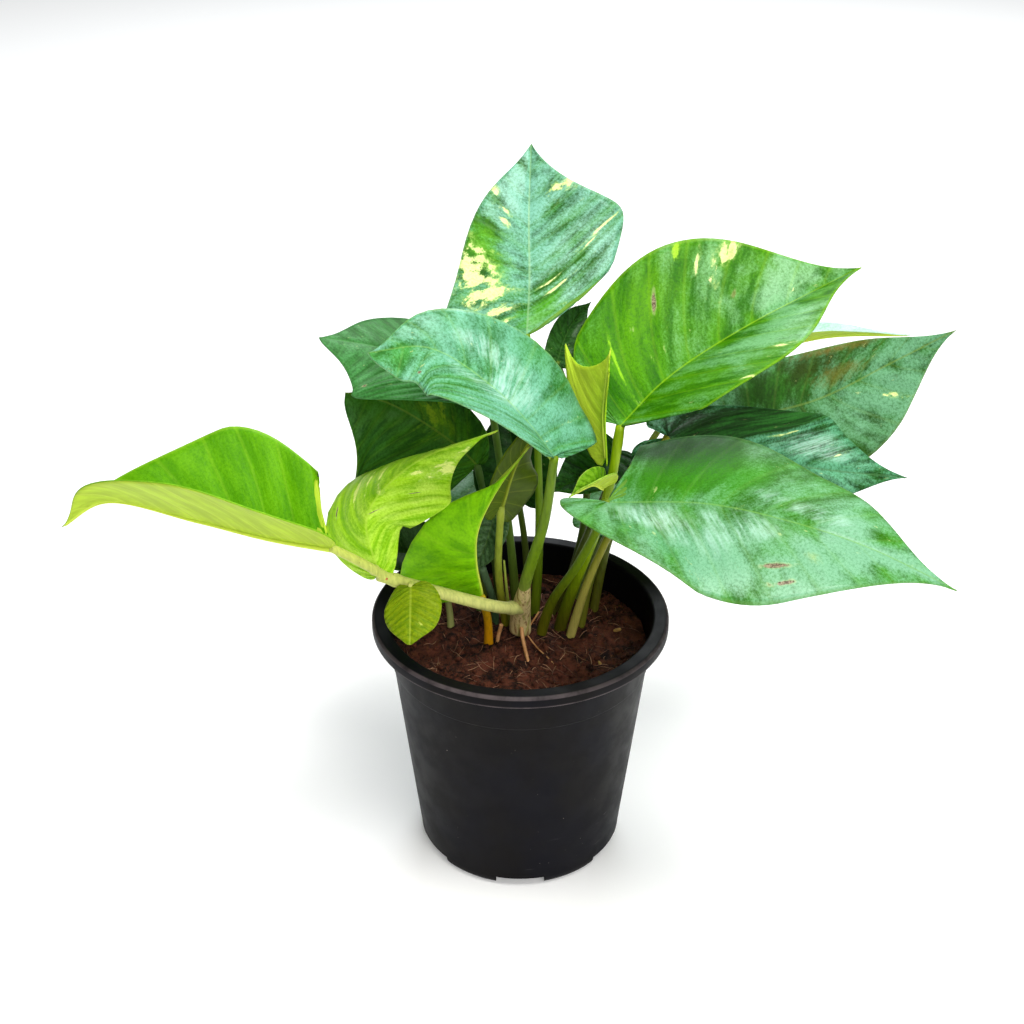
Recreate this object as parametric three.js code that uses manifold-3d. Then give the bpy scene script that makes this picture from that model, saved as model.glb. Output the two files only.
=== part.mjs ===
// A potted pothos: a nursery pot, its soil, rooted stems and heart-shaped leaves.
// Millimetres, +Z up. The origin is the pot's axis where its feet meet the ground.
import * as THREE from 'three';
import { mergeVertices } from 'three/addons/utils/BufferGeometryUtils.js';
import Module from 'manifold-3d';

// Pot
const POT_HEIGHT = 100;
const RIM_RADIUS = 55;
const RIM_DEPTH = 4.6; // height of the turned-down lip
const LIP_THICKNESS = 1.4;
const WALL = 1.3;
const WALL_TOP_RADIUS = 50.4;
const WALL_FOOT_RADIUS = 39;
const LEDGE_HEIGHT = 81; // the wall steps in a little below this height
const LEDGE_STEP = 0.5;
const HEEL_HEIGHT = 5; // the round heel ends here
const HEEL_DROP = 1;
const HEEL_STEPS = 3;
const LIP_BEVEL = 0.5;
const FLOOR_CORNER = 4; // slope between the floor and the wall inside
const FOOT_RADIUS = 36.3;
const FOOT_WIDTH = 5.6;
const FOOT_HEIGHT = 2.3;
const FOOT_COUNT = 6;
const FOOT_NOTCH_ANGLE = THREE.MathUtils.degToRad(30);
const DRAIN_RADIUS = 4;
const DRAIN_CIRCLE = 19;
const DRAIN_SIDES = 8;
const POT_SIDES = 40;

// Soil
const GAP = 0.3; // clearance between pieces that touch
const SOIL_GAP = 1; // room for the pot's flat sides between its corners
const SOIL_HEIGHT = 88;
const SOIL_LUMP = 1.6;
const SOIL_SINK = 1.5;
const MOUND_WIDTH = 4.7;
const CRUMB_WIDTH = 1.7;
const SOIL_RINGS = 6;
const SOIL_SIDES = 28;

// Leaves and stalks
const ROOM = 0.35; // clearance that a stalk keeps to its blade
const FOOT_ROOM = 1.7; // and round the point where the blade's midrib starts
const BLADE_THICKNESS = 0.6;
const RIB_THICKNESS = 0.8; // how far the midrib stands out below the blade
const LOBE_SHARE = 0.3; // share of the margin whose veins fan out from the stalk
const FLARE_LENGTH = 0.08; // share of the margin over which a bulge dies away
const CUP_SHARE = 0.45; // share of the margin over which a raised lobe dies away
const VEIN_SWEEP = 1.2; // above 1, side veins leave the midrib and then bend forward
const RIB_PACE = 1.25;
const MARGIN_WAVES = 2.5; // waves along each half's margin
const PHASE_STEP = 0.37; // share of a wave by which the next leaf's waves differ
const STALK_STEP = 13;
const STALK_SIDES = 6;

const wasm = await Module();
wasm.setup();

function solidFrom(geometry) {
  geometry.deleteAttribute('normal');
  geometry.deleteAttribute('uv');
  const merged = mergeVertices(geometry, 1e-4);
  const index = merged.index.array;
  const kept = [];
  for (let i = 0; i < index.length; i += 3) {
    const [a, b, c] = index.slice(i, i + 3);
    if (a !== b && b !== c && c !== a) kept.push(a, b, c);
  }
  const mesh = new wasm.Mesh({
    numProp: 3,
    vertProperties: Float32Array.from(merged.attributes.position.array),
    triVerts: Uint32Array.from(kept),
  });
  return new wasm.Manifold(mesh);
}

function geometryFrom(solid) {
  const mesh = solid.getMesh();
  const geometry = new THREE.BufferGeometry();
  geometry.setAttribute('position', new THREE.BufferAttribute(mesh.vertProperties, 3));
  geometry.setIndex(new THREE.BufferAttribute(mesh.triVerts, 1));
  return geometry;
}

// The largest connected piece of a solid that a cut may have parted.
function largestPiece(solid) {
  return solid.decompose().reduce((best, piece) => (piece.volume() > best.volume() ? piece : best));
}

function turned(profile, sides) {
  const points = profile.map(([radius, height]) => new THREE.Vector2(radius, height));
  return solidFrom(new THREE.LatheGeometry(points, sides).rotateX(Math.PI / 2));
}

// ---------------------------------------------------------------- pot and soil

function wallRadius(height) {
  const share = (height - HEEL_HEIGHT) / (POT_HEIGHT - HEEL_HEIGHT);
  return THREE.MathUtils.lerp(WALL_FOOT_RADIUS, WALL_TOP_RADIUS, share);
}

// Closed outline of the pot's wall, from the underside of its floor, round the
// foot ring and the heel, up the outside, over the lip and down the inside.
function potProfile() {
  const lipFoot = POT_HEIGHT - RIM_DEPTH;
  const lipUnderside = POT_HEIGHT - LIP_THICKNESS;
  const inside = (height) => wallRadius(height) - WALL;
  const floorTop = FOOT_HEIGHT + WALL;
  const heel = new THREE.QuadraticBezierCurve(
    new THREE.Vector2(FOOT_RADIUS, 0),
    new THREE.Vector2(WALL_FOOT_RADIUS, HEEL_DROP),
    new THREE.Vector2(wallRadius(HEEL_HEIGHT), HEEL_HEIGHT),
  );
  return [
    [0, FOOT_HEIGHT],
    [FOOT_RADIUS - FOOT_WIDTH, FOOT_HEIGHT],
    [FOOT_RADIUS - FOOT_WIDTH, 0],
    ...heel.getPoints(HEEL_STEPS).map((point) => point.toArray()),
    [wallRadius(LEDGE_HEIGHT) - LEDGE_STEP, LEDGE_HEIGHT],
    [wallRadius(LEDGE_HEIGHT), LEDGE_HEIGHT + LEDGE_STEP],
    [wallRadius(lipUnderside), lipUnderside],
    [RIM_RADIUS - LIP_THICKNESS, lipUnderside],
    [RIM_RADIUS - LIP_THICKNESS, lipFoot],
    [RIM_RADIUS - LIP_BEVEL, lipFoot],
    [RIM_RADIUS, lipFoot + LIP_BEVEL],
    [RIM_RADIUS, POT_HEIGHT - 2 * LIP_BEVEL],
    [RIM_RADIUS - 2 * LIP_BEVEL, POT_HEIGHT],
    [inside(POT_HEIGHT) + LIP_BEVEL, POT_HEIGHT],
    [inside(POT_HEIGHT), POT_HEIGHT - LIP_BEVEL],
    [inside(floorTop + FLOOR_CORNER), floorTop + FLOOR_CORNER],
    [inside(floorTop) - FLOOR_CORNER, floorTop],
    [0, floorTop],
  ];
}

function potSolid() {
  let pot = turned(potProfile(), POT_SIDES);
  const notchLength = 2 * FOOT_RADIUS;
  const notchWidth = 2 * FOOT_RADIUS * Math.sin(FOOT_NOTCH_ANGLE / 2);
  for (let i = 0; i < FOOT_COUNT; i += 1) {
    const angle = -Math.PI / 2 + (i * 2 * Math.PI) / FOOT_COUNT;
    const notch = new THREE.BoxGeometry(notchLength, notchWidth, 2 * FOOT_HEIGHT);
    notch.translate(FOOT_RADIUS - FOOT_WIDTH - GAP + notchLength / 2, 0, 0).rotateZ(angle);
    const drain = new THREE.CylinderGeometry(DRAIN_RADIUS, DRAIN_RADIUS, 6 * WALL, DRAIN_SIDES);
    drain.rotateX(Math.PI / 2).translate(DRAIN_CIRCLE, 0, FOOT_HEIGHT).rotateZ(angle);
    pot = pot.subtract(solidFrom(notch)).subtract(solidFrom(drain));
  }
  return pot;
}

// Low mounds and dips of the soil's surface, as two waves across it; they die
// away at the wall, where the soil has sunk.
function soilRise(x, y) {
  const reach = Math.hypot(x, y) / WALL_TOP_RADIUS;
  const mounds = Math.sin(x / MOUND_WIDTH + 1.1) * Math.cos(y / MOUND_WIDTH - 0.4);
  const crumbs = Math.sin((x - y) / CRUMB_WIDTH) + Math.cos((0.4 * x + y) / CRUMB_WIDTH);
  return SOIL_LUMP * (mounds + 0.3 * crumbs) * (1 - 0.5 * reach) - SOIL_SINK * reach ** 4;
}

function soilSolid() {
  const floor = FOOT_HEIGHT + WALL + GAP;
  const inside = (height) => wallRadius(height) - WALL - SOIL_GAP;
  const surfaceRadius = inside(SOIL_HEIGHT) - 1;
  const profile = [
    [0, floor],
    [inside(floor) - FLOOR_CORNER, floor],
    [inside(floor + FLOOR_CORNER), floor + FLOOR_CORNER],
    [inside(SOIL_HEIGHT), SOIL_HEIGHT - SOIL_SINK],
  ];
  for (let ring = SOIL_RINGS; ring >= 0; ring -= 1) {
    profile.push([(surfaceRadius * ring) / SOIL_RINGS, SOIL_HEIGHT]);
  }
  const points = profile.map(([radius, height]) => new THREE.Vector2(radius, height));
  const geometry = new THREE.LatheGeometry(points, SOIL_SIDES).rotateX(Math.PI / 2);
  const position = geometry.attributes.position;
  for (let i = 0; i < position.count; i += 1) {
    if (position.getZ(i) < SOIL_HEIGHT - GAP) continue;
    position.setZ(i, SOIL_HEIGHT + soilRise(position.getX(i), position.getY(i)));
  }
  return solidFrom(geometry);
}

// ---------------------------------------------------------------------- leaves

// Half of the heart-shaped outline from the notch at the stalk to the tip, as
// curves of [share of the half width, share of the length].
const OUTLINE = [
  [[0, 0], [0.08, -0.14], [0.5, -0.2], [0.8, -0.02]],
  [[0.8, -0.02], [1.07, 0.15], [1.03, 0.42], [0.68, 0.64]],
  [[0.68, 0.64], [0.42, 0.8], [0.1, 0.86], [0, 1]],
].map((points) => new THREE.CubicBezierCurve(...points.map(([x, y]) => new THREE.Vector2(x, y))));

function marginPoint(share) {
  const piece = Math.min(OUTLINE.length - 1, Math.floor(share * OUTLINE.length));
  return OUTLINE[piece].getPoint(share * OUTLINE.length - piece);
}

// A point of a blade's middle surface. `rib` is the path of the midrib from stalk
// to tip, `up` and `upTip` are where its upper face looks there. Each half,
// [left, right], has its width `wide`, the angle `fold` at which it leaves the
// midrib and the angle `curl` by which it turns on the way to the margin, in
// degrees, up positive. `cup` raises the lobe behind the stalk and `lobe` scales
// its length, `lean` above 0 moves the widest part towards the tip, `slim` above 1
// narrows the ends, `flare` is the size and the margin share of a bulge, below 0 a
// dent, and `wave` is the height of the margin's waves.
function bladePoint(leaf, side, marginShare, reach) {
  const { curve, length, up, upTip, wide, fold, curl, cup, wave } = leaf;
  const { phase, lean, lobe, slim, flare } = leaf;
  const margin = marginPoint(marginShare);
  if (margin.y < 0) margin.y *= lobe[side];
  margin.x **= slim[side];
  const [bulge, bulgeShare] = flare[side];
  margin.x *= 1 + bulge * Math.exp(-(((marginShare - bulgeShare) / FLARE_LENGTH) ** 2));
  margin.y += lean[side] * margin.x ** 2 * (1 - margin.y);
  const start = Math.max(0, (marginShare - LOBE_SHARE) / (1 - LOBE_SHARE)) ** RIB_PACE;
  const along = start + (margin.y - start) * reach ** VEIN_SWEEP;
  const onRib = THREE.MathUtils.clamp(along, 0, 1);
  const tangent = curve.getTangentAt(onRib);
  const centre = curve.getPointAt(onRib).addScaledVector(tangent, (along - onRib) * length);
  const normal = up.clone().lerp(upTip, onRib);
  normal.addScaledVector(tangent, -normal.dot(tangent)).normalize();
  const right = tangent.clone().cross(normal);
  const across = margin.x * wide[side] * reach;
  const lift = cup[side] * Math.max(0, 1 - marginShare / CUP_SHARE);
  const first = THREE.MathUtils.degToRad(fold[side] + lift);
  const turn = THREE.MathUtils.degToRad(curl[side]) / wide[side];
  const last = first + turn * across;
  const bent = Math.abs(turn) > 1e-6;
  const out = bent ? (Math.sin(last) - Math.sin(first)) / turn : across * Math.cos(first);
  const rise = bent ? (Math.cos(first) - Math.cos(last)) / turn : across * Math.sin(first);
  const ripple = wave * Math.sin(2 * Math.PI * (MARGIN_WAVES * marginShare + phase + side * 0.3));
  const height = rise + ripple * reach ** 2 * margin.x;
  return centre.addScaledVector(right, side === 0 ? -out : out).addScaledVector(normal, height);
}

// The closed surface of a blade with an even thickness and a rib underneath.
function bladeGeometry(leaf) {
  const { rows, columns } = leaf;
  const points = [];
  const put = (point) => points.push(point) - 1;
  const stalkEnd = put(bladePoint(leaf, 0, 0, 0));
  const tip = put(bladePoint(leaf, 0, 1, 0));
  const ribRow = [];
  for (let row = 0; row <= rows; row += 1) {
    const share = row / rows;
    if (share <= LOBE_SHARE) ribRow.push(stalkEnd);
    else ribRow.push(row === rows ? tip : put(bladePoint(leaf, 0, share, 0)));
  }
  const halves = [0, 1].map((side) => ribRow.map((rib, row) => {
    const line = [rib];
    for (let column = 1; column <= columns; column += 1) {
      if (row === 0 || row === rows) line.push(rib);
      else line.push(put(bladePoint(leaf, side, row / rows, column / columns)));
    }
    return line;
  }));

  const faces = [];
  const face = (a, b, c) => {
    if (a !== b && b !== c && c !== a) faces.push([a, b, c]);
  };
  halves.forEach((half, side) => {
    for (let row = 1; row < rows; row += 1) {
      for (let column = 0; column < columns; column += 1) {
        const a = half[row][column];
        const b = half[row][column + 1];
        const c = half[row + 1][column + 1];
        const d = half[row + 1][column];
        if (side === 1) face(a, b, c);
        else face(a, c, b);
        if (side === 1) face(a, c, d);
        else face(a, d, c);
      }
    }
  });

  const normals = points.map(() => new THREE.Vector3());
  faces.forEach(([a, b, c]) => {
    const edge = points[b].clone().sub(points[a]);
    const normal = edge.cross(points[c].clone().sub(points[a]));
    [a, b, c].forEach((corner) => normals[corner].add(normal));
  });
  normals.forEach((normal) => normal.normalize());

  const ribPoints = new Set(ribRow);
  const half = BLADE_THICKNESS / 2;
  const position = [];
  points.forEach((point, i) => {
    position.push(...point.clone().addScaledVector(normals[i], half).toArray());
  });
  points.forEach((point, i) => {
    const depth = half + (ribPoints.has(i) && i !== tip ? RIB_THICKNESS : 0);
    position.push(...point.clone().addScaledVector(normals[i], -depth).toArray());
  });
  const under = points.length;
  const index = [];
  faces.forEach(([a, b, c]) => index.push(a, b, c, a + under, c + under, b + under));
  const edge = [stalkEnd, ...halves[1][1].slice(1)];
  for (let row = 2; row < rows; row += 1) edge.push(halves[1][row][columns]);
  edge.push(tip);
  for (let row = rows - 1; row > 1; row -= 1) edge.push(halves[0][row][columns]);
  edge.push(...halves[0][1].slice(1).reverse());
  edge.forEach((a, i) => {
    const b = edge[(i + 1) % edge.length];
    index.push(b, a, a + under, b, a + under, b + under);
  });
  const geometry = new THREE.BufferGeometry();
  geometry.setAttribute('position', new THREE.Float32BufferAttribute(position, 3));
  geometry.setIndex(index);
  return geometry;
}

const PLAIN_LEAF = {
  fold: [20, 20], curl: [-5, -5], cup: [0, 0], lean: [0, 0],
  lobe: [1, 1], slim: [1, 1], flare: [[0, 0], [0, 0]], wave: 0.8, rows: 12, columns: 3,
};

function makeLeaf(shape, order) {
  const curve = new THREE.CatmullRomCurve3(shape.rib.map((point) => new THREE.Vector3(...point)));
  const up = new THREE.Vector3(...shape.up).normalize();
  const upTip = new THREE.Vector3(...(shape.upTip ?? shape.up)).normalize();
  const phase = order * PHASE_STEP;
  return { ...PLAIN_LEAF, ...shape, curve, length: curve.getLength(), up, upTip, phase };
}

// --------------------------------------------------------------------- stalks

// A round, tapering stalk along a smooth path; `grow` widens and lengthens it.
function stalkSolid({ path, radius }, grow = 0) {
  const curve = new THREE.CatmullRomCurve3(path.map((point) => new THREE.Vector3(...point)));
  const steps = Math.max(3, Math.round(curve.getLength() / STALK_STEP));
  const frames = curve.computeFrenetFrames(steps, false);
  const position = [];
  const index = [];
  for (let step = 0; step <= steps; step += 1) {
    const share = step / steps;
    const centre = curve.getPointAt(share);
    if (step === 0) centre.addScaledVector(frames.tangents[0], -grow);
    if (step === steps) centre.addScaledVector(frames.tangents[steps], grow);
    const width = THREE.MathUtils.lerp(radius[0], radius[1], share) + grow;
    for (let side = 0; side < STALK_SIDES; side += 1) {
      const angle = (side / STALK_SIDES) * 2 * Math.PI;
      const point = centre.clone();
      point.addScaledVector(frames.normals[step], Math.cos(angle) * width);
      point.addScaledVector(frames.binormals[step], Math.sin(angle) * width);
      position.push(...point.toArray());
    }
  }
  for (let step = 0; step < steps; step += 1) {
    for (let side = 0; side < STALK_SIDES; side += 1) {
      const a = step * STALK_SIDES + side;
      const b = step * STALK_SIDES + ((side + 1) % STALK_SIDES);
      index.push(a, b, b + STALK_SIDES, a, b + STALK_SIDES, a + STALK_SIDES);
    }
  }
  for (let side = 1; side < STALK_SIDES - 1; side += 1) {
    index.push(0, side + 1, side);
    const last = steps * STALK_SIDES;
    index.push(last, last + side, last + side + 1);
  }
  const geometry = new THREE.BufferGeometry();
  geometry.setAttribute('position', new THREE.Float32BufferAttribute(position, 3));
  geometry.setIndex(index);
  return solidFrom(geometry);
}

// The room that a blade takes up near its stalk, with clearance all round.
function bladeRoom(leaf) {
  const { curve, up } = leaf;
  const foot = curve.getPoint(0);
  const tangent = curve.getTangent(0);
  const normal = up.clone().addScaledVector(tangent, -up.dot(tangent)).normalize();
  const right = tangent.clone().cross(normal);
  const ball = new THREE.IcosahedronGeometry(FOOT_ROOM, 1).translate(...foot.toArray());
  let room = solidFrom(bladeGeometry(leaf)).add(solidFrom(ball));
  for (const side of [normal, normal.clone().negate(), right, right.clone().negate()]) {
    const shift = side.clone().sub(tangent).multiplyScalar(ROOM);
    room = room.add(solidFrom(bladeGeometry(leaf).translate(...shift.toArray())));
  }
  return room;
}

// ------------------------------------------------------------------- the plant

const LEAVES = {
  far_left: {
    rib: [[-64, -38, 150], [-85, -33, 151], [-110, -28, 155], [-142, -22, 159], [-160, -17, 146]],
    up: [0, 0, 1], wide: [34, 38], fold: [54, 52], curl: [-10, -20], lean: [0.25, 0.22],
    lobe: [0.3, -0.9], slim: [1.1, 2.2], tone: 'lime',
  },
  top: {
    rib: [[2, 18, 203], [3, 34, 215], [3, 58, 232], [4, 80, 252]],
    up: [0.3, -0.7, 0.5], upTip: [-0.1, -0.75, 0.65], wide: [28, 35], fold: [12, 12],
    curl: [-10, -10], lean: [-0.3, 0.5], lobe: [0.6, -0.8], slim: [0.85, 0.9],
    flare: [[0.3, 0.42], [0, 0]], rows: 14,
  },
  upper_right: {
    rib: [[34.5, -1, 177], [50.5, 9, 190], [77, 22, 203], [121, 39, 220]],
    up: [-0.25, -0.3, 0.9], wide: [43, 41], fold: [32, 25], curl: [-5, -5], lean: [0.2, 0.25],
    slim: [1, 0.95], flare: [[-0.08, 0.34], [0, 0]], rows: 13,
    lobe: [0.3, -0.3],
  },
  lower_right: {
    rib: [[29, -30, 163], [62, -40, 168], [91, -50, 166], [112, -58, 162], [140, -66, 151]],
    up: [0, 0, 1], wide: [46, 40.5], fold: [12, -4], curl: [-20, -25], cup: [0, 60],
    lean: [0.03, 0.2], lobe: [-0.5, 1], slim: [1.25, 1],
    flare: [[-0.15, 0.62], [0, 0]], wave: 1.3, rows: 13,
  },
  front_left: {
    rib: [[11, -28, 179], [3, -28, 191], [-10, -27, 205], [-30, -26, 218], [-49, -32, 219]],
    up: [0.5, -0.1, 0.85], upTip: [0.25, -0.5, 0.8], wide: [22, 30],
    fold: [10, 18], lean: [0.7, -0.25], lobe: [0.3, 0.45],
    slim: [0.42, 1], flare: [[0.35, 0.92], [0, 0]], wave: 0, rows: 14,
  },
  back_left: {
    rib: [[-11, 18, 180], [-29, 20, 189], [-49, 18, 198], [-70, 14, 204]],
    up: [0.3, -0.1, 0.95], wide: [29, 32], fold: [-6, 0], lean: [0.8, 0.1], lobe: [0.3, 1],
    slim: [0.5, 1],
  },
  dark_left: {
    rib: [[-16, 28, 146], [-24, 31, 153], [-48, 33, 169], [-64, 32, 174]],
    up: [-0.3, -0.75, 0.55], wide: [36, 15], fold: [0, 10], lean: [0.6, 0.2], lobe: [1, 0.3],
    slim: [0.45, 1],
  },
  vine_end: {
    rib: [[-49, -30, 134], [-53, -22, 153], [-38, -9, 166], [-8, 8, 171]],
    up: [-0.3, -0.8, 0.5], upTip: [-0.3, 0.1, 0.9], wide: [32, 20], fold: [-28, -38],
    curl: [-10, -5], lean: [0.35, 0.5], lobe: [0.25, 0.3], slim: [1, 1.5],
    flare: [[0.8, 0.94], [0.6, 0.9]], tone: 'lime', rows: 14,
  },
  low_front: {
    rib: [[-14, -14, 115], [-16, -19, 133], [-15, -21, 147], [-8, -19, 162], [3, -16, 177]],
    up: [-0.1, -0.95, 0.2], wide: [34, 9], fold: [-6, -110], curl: [-12, 0], lean: [-0.4, 0.1],
    lobe: [0.3, 0.3], slim: [4, 1.2],
  },
  olive: {
    rib: [[-7, -8, 149], [-1, -2, 165], [14, 12, 181]],
    up: [-0.3, 0.7, 0.6], wide: [20, 9], fold: [10, 10], tone: 'olive', rows: 10,
  },
  dark_middle: {
    rib: [[36, 24, 154], [25, 17, 148], [10, 11, 144]],
    up: [-0.4, -0.5, 0.8], wide: [15, 14], lobe: [0.4, 0.4], rows: 10,
  },
  curled: {
    rib: [[29.2, -5.5, 155], [25, -12, 160], [16.5, -19, 159]],
    up: [0, -0.3, 1], wide: [7, 7], fold: [60, 60], lobe: [0.3, 0.3], tone: 'lime', rows: 8,
  },
  narrow: {
    rib: [[29.9, -3, 166], [28.6, -1.5, 182], [30.5, 1, 205.5]],
    up: [0.5, 1, 0], wide: [4, 21], fold: [-60, 5], curl: [0, 25], lean: [0.8, 0.92], slim: [1, 1.3],
    tone: 'lime', rows: 10,
  },
  far_right: {
    rib: [[77, 50, 153], [112, 54, 160], [140, 54, 176], [161, 50, 191]],
    up: [-0.2, -0.5, 0.85], wide: [20, 32], fold: [22, -20],
  },
  middle_right: {
    rib: [[53, 18, 163], [73, 20, 159], [103, 22, 149], [144, 24, 143]],
    up: [0, -0.3, 1], wide: [20, 20], fold: [50, -45], lean: [0.5, 0],
  },
  far_back: {
    rib: [[67, 72, 156], [87, 72, 169], [116, 75, 177], [151, 75, 178]],
    up: [0, -0.2, 1], wide: [10, 8], fold: [10, 60], lobe: [0.4, 0.4],
  },
  drooping: {
    rib: [[-38, -32, 131], [-38, -40, 124], [-38, -46, 116]],
    up: [-0.2, -0.9, 0.5], wide: [11, 10], fold: [-10, -10], lean: [0.2, 0.35], slim: [0.6, 0.5],
    tone: 'olive', rows: 10,
  },
  dark_low: {
    rib: [[-32, 11, 117], [-48, 7, 121], [-67, 3, 123]],
    up: [0, -0.2, 0.9], wide: [16, 16], rows: 10,
  },
  small_grey: {
    rib: [[-9, 10, 136], [-13, 6, 124], [-18, 4, 113]],
    up: [-0.4, -0.8, 0.3], wide: [8, 8], lobe: [0.5, 0.5], rows: 8,
  },
  centre_back: {
    rib: [[13, 28, 188], [16, 34, 195], [20, 40, 200], [26, 46, 204]],
    up: [0.3, -0.75, 0.55], wide: [7, 7], lobe: [0.4, 0.4], rows: 10,
  },
  shaded: {
    rib: [[-1, 38, 128], [-3, 39, 148], [-6, 37, 170]],
    up: [0, -1, 0.3], wide: [17, 17], rows: 10,
  },
  rear_left: {
    rib: [[-20, 36, 120], [-38, 50, 126], [-58, 64, 120], [-72, 74, 106]],
    up: [0, 0.2, 1], wide: [22, 22], fold: [10, 10],
  },
  rear_right: {
    rib: [[34, 44, 112], [52, 58, 116], [76, 72, 110], [94, 80, 96]],
    up: [0, 0.2, 1], wide: [20, 18], fold: [10, 10],
  },
};

// Stalks of single leaves: path from the soil up, and radius at its two ends.
const STALKS = {
  top: { path: [[5, 17, 78], [7, 20, 115], [6, 23, 160], [2, 18, 203]], radius: [1.6, 1.3] },
  upper_right: {
    path: [[13, 8, 78], [18, 4, 102], [27, -2, 135], [32, -3, 158], [34.5, -1, 177]],
    radius: [2, 1.6],
  },
  lower_right: {
    path: [[6, 4, 78], [11, 0, 102], [20, -11, 126], [27, -23, 150], [29, -30, 163]],
    radius: [1.7, 1.5],
  },
  back_left: { path: [[-1, 23, 78], [-4, 22, 120], [-11, 18, 180]], radius: [1.6, 1.3] },
  dark_left: { path: [[-7, 25, 78], [-11, 30, 115], [-16, 28, 146]], radius: [1.5, 1.3] },
  low_front: { path: [[-12, -1, 78], [-12, -7, 100], [-14, -14, 115]], radius: [1.7, 1.4] },
  olive: { path: [[-4, 12, 78], [-8, 1, 115], [-7, -8, 149]], radius: [1.5, 1.3] },
  dark_middle: { path: [[10, 14, 78], [22, 20, 112], [32, 24, 138], [36, 24, 154]], radius: [1.3, 1.2] },
  far_right: {
    path: [[21, 7, 78], [29, 14, 115], [52, 36, 145], [77, 50, 153]],
    radius: [1.6, 1.3],
  },
  middle_right: {
    path: [[17, 4, 78], [26, 2, 115], [40, 8, 145], [53, 18, 163]],
    radius: [1.5, 1.3],
  },
  far_back: { path: [[27, 20, 78], [34, 27, 115], [50, 54, 141], [67, 72, 156]], radius: [1.5, 1.2] },
  dark_low: { path: [[-26, 8, 78], [-27, 8, 98], [-32, 11, 117]], radius: [1.3, 1.1] },
  small_grey: { path: [[-16, 18, 78], [-14, 15, 115], [-9, 10, 136]], radius: [1.1, 0.9] },
  centre_back: { path: [[14, 24, 78], [24, 30, 118], [24, 32, 150], [13, 28, 188]], radius: [1.5, 1.2] },
  shaded: { path: [[3, 30, 78], [2, 38, 105], [-1, 38, 128]], radius: [1.4, 1.2] },
  rear_left: { path: [[-12, 28, 78], [-15, 31, 100], [-20, 36, 120]], radius: [1.5, 1.3] },
  rear_right: { path: [[20, 26, 78], [26, 34, 98], [34, 44, 112]], radius: [1.5, 1.3] },
};

// The rooted stem in front: it carries a tall leaf, the vine with its leaf, a
// drooping leaf, and a root.
const STEM = [
  {
    path: [[0, 6, 78], [0, 0, 98], [2, -12, 121], [8, -22, 151], [11, -28, 179]],
    radius: [2.6, 1.5],
  },
  { path: [[0, -5, 104], [-10, -17, 113], [-30, -23, 123], [-49, -30, 134]], radius: [2.4, 2.2] },
  { path: [[-45, -28, 131], [-55, -34, 142], [-64, -38, 150]], radius: [1.8, 1.5] },
  { path: [[-36, -25, 126], [-38, -29, 130], [-38, -32, 131]], radius: [1.2, 0.9] },
  { path: [[0, 0, 97], [1, -8, 92], [3, -14, 86]], radius: [0.8, 0.6] },
];

// Bare shoots beside the stem: a sheathed bud and a cut stalk.
const SHOOTS = {
  bud: { path: [[-3, 8, 84], [-5, 3, 106], [-6, 1, 121]], radius: [0.9, 0.35] },
  cut_stalk: { path: [[-9, 12, 78], [-10, 9, 97], [-14, 4, 116]], radius: [1.4, 1.4] },
};

const COLOURS = {
  pot: ['#1d1a1c', 0.5],
  soil: ['#3a241c', 0.95],
  green: ['#3c6638', 0.35],
  lime: ['#9fb83c', 0.35],
  olive: ['#6d7d33', 0.4],
  stalk: ['#8a9145', 0.45],
};

const group = new THREE.Group();

function place(name, solid, colour) {
  const [color, roughness] = COLOURS[colour];
  const material = new THREE.MeshStandardMaterial({ color, roughness, metalness: 0 });
  const mesh = new THREE.Mesh(geometryFrom(solid), material);
  mesh.name = name;
  group.add(mesh);
}

const leaves = Object.fromEntries(
  Object.entries(LEAVES).map(([name, shape], order) => [name, makeLeaf(shape, order)]),
);
const stemLeaves = ['front_left', 'vine_end', 'far_left', 'drooping'];

let stem = STEM.map((shape) => stalkSolid(shape)).reduce((whole, limb) => whole.add(limb));
for (const name of stemLeaves) stem = stem.subtract(bladeRoom(leaves[name]));
const stalks = { stem: largestPiece(stem) };
for (const [name, shape] of Object.entries(STALKS)) {
  const stalk = stalkSolid(shape).subtract(bladeRoom(leaves[name]));
  stalks[`stalk_${name}`] = largestPiece(stalk);
}
for (const [name, shape] of Object.entries(SHOOTS)) stalks[name] = stalkSolid(shape);

let soil = soilSolid();
const rooted = [...STEM, ...Object.values(STALKS), ...Object.values(SHOOTS)];
for (const shape of rooted) soil = soil.subtract(stalkSolid(shape, GAP));

place('pot', potSolid(), 'pot');
place('soil', largestPiece(soil), 'soil');
for (const [name, solid] of Object.entries(stalks)) place(name, solid, 'stalk');
for (const [name, leaf] of Object.entries(leaves)) {
  place(`leaf_${name}`, solidFrom(bladeGeometry(leaf)), leaf.tone ?? 'green');
}

export default group;
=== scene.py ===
"""A potted pothos, as it is put together: nursery pot, soil, stalks and vine, and glossy leaves."""
import math
import random

import bpy
import numpy as np
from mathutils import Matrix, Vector
from mathutils.bvhtree import BVHTree


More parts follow.
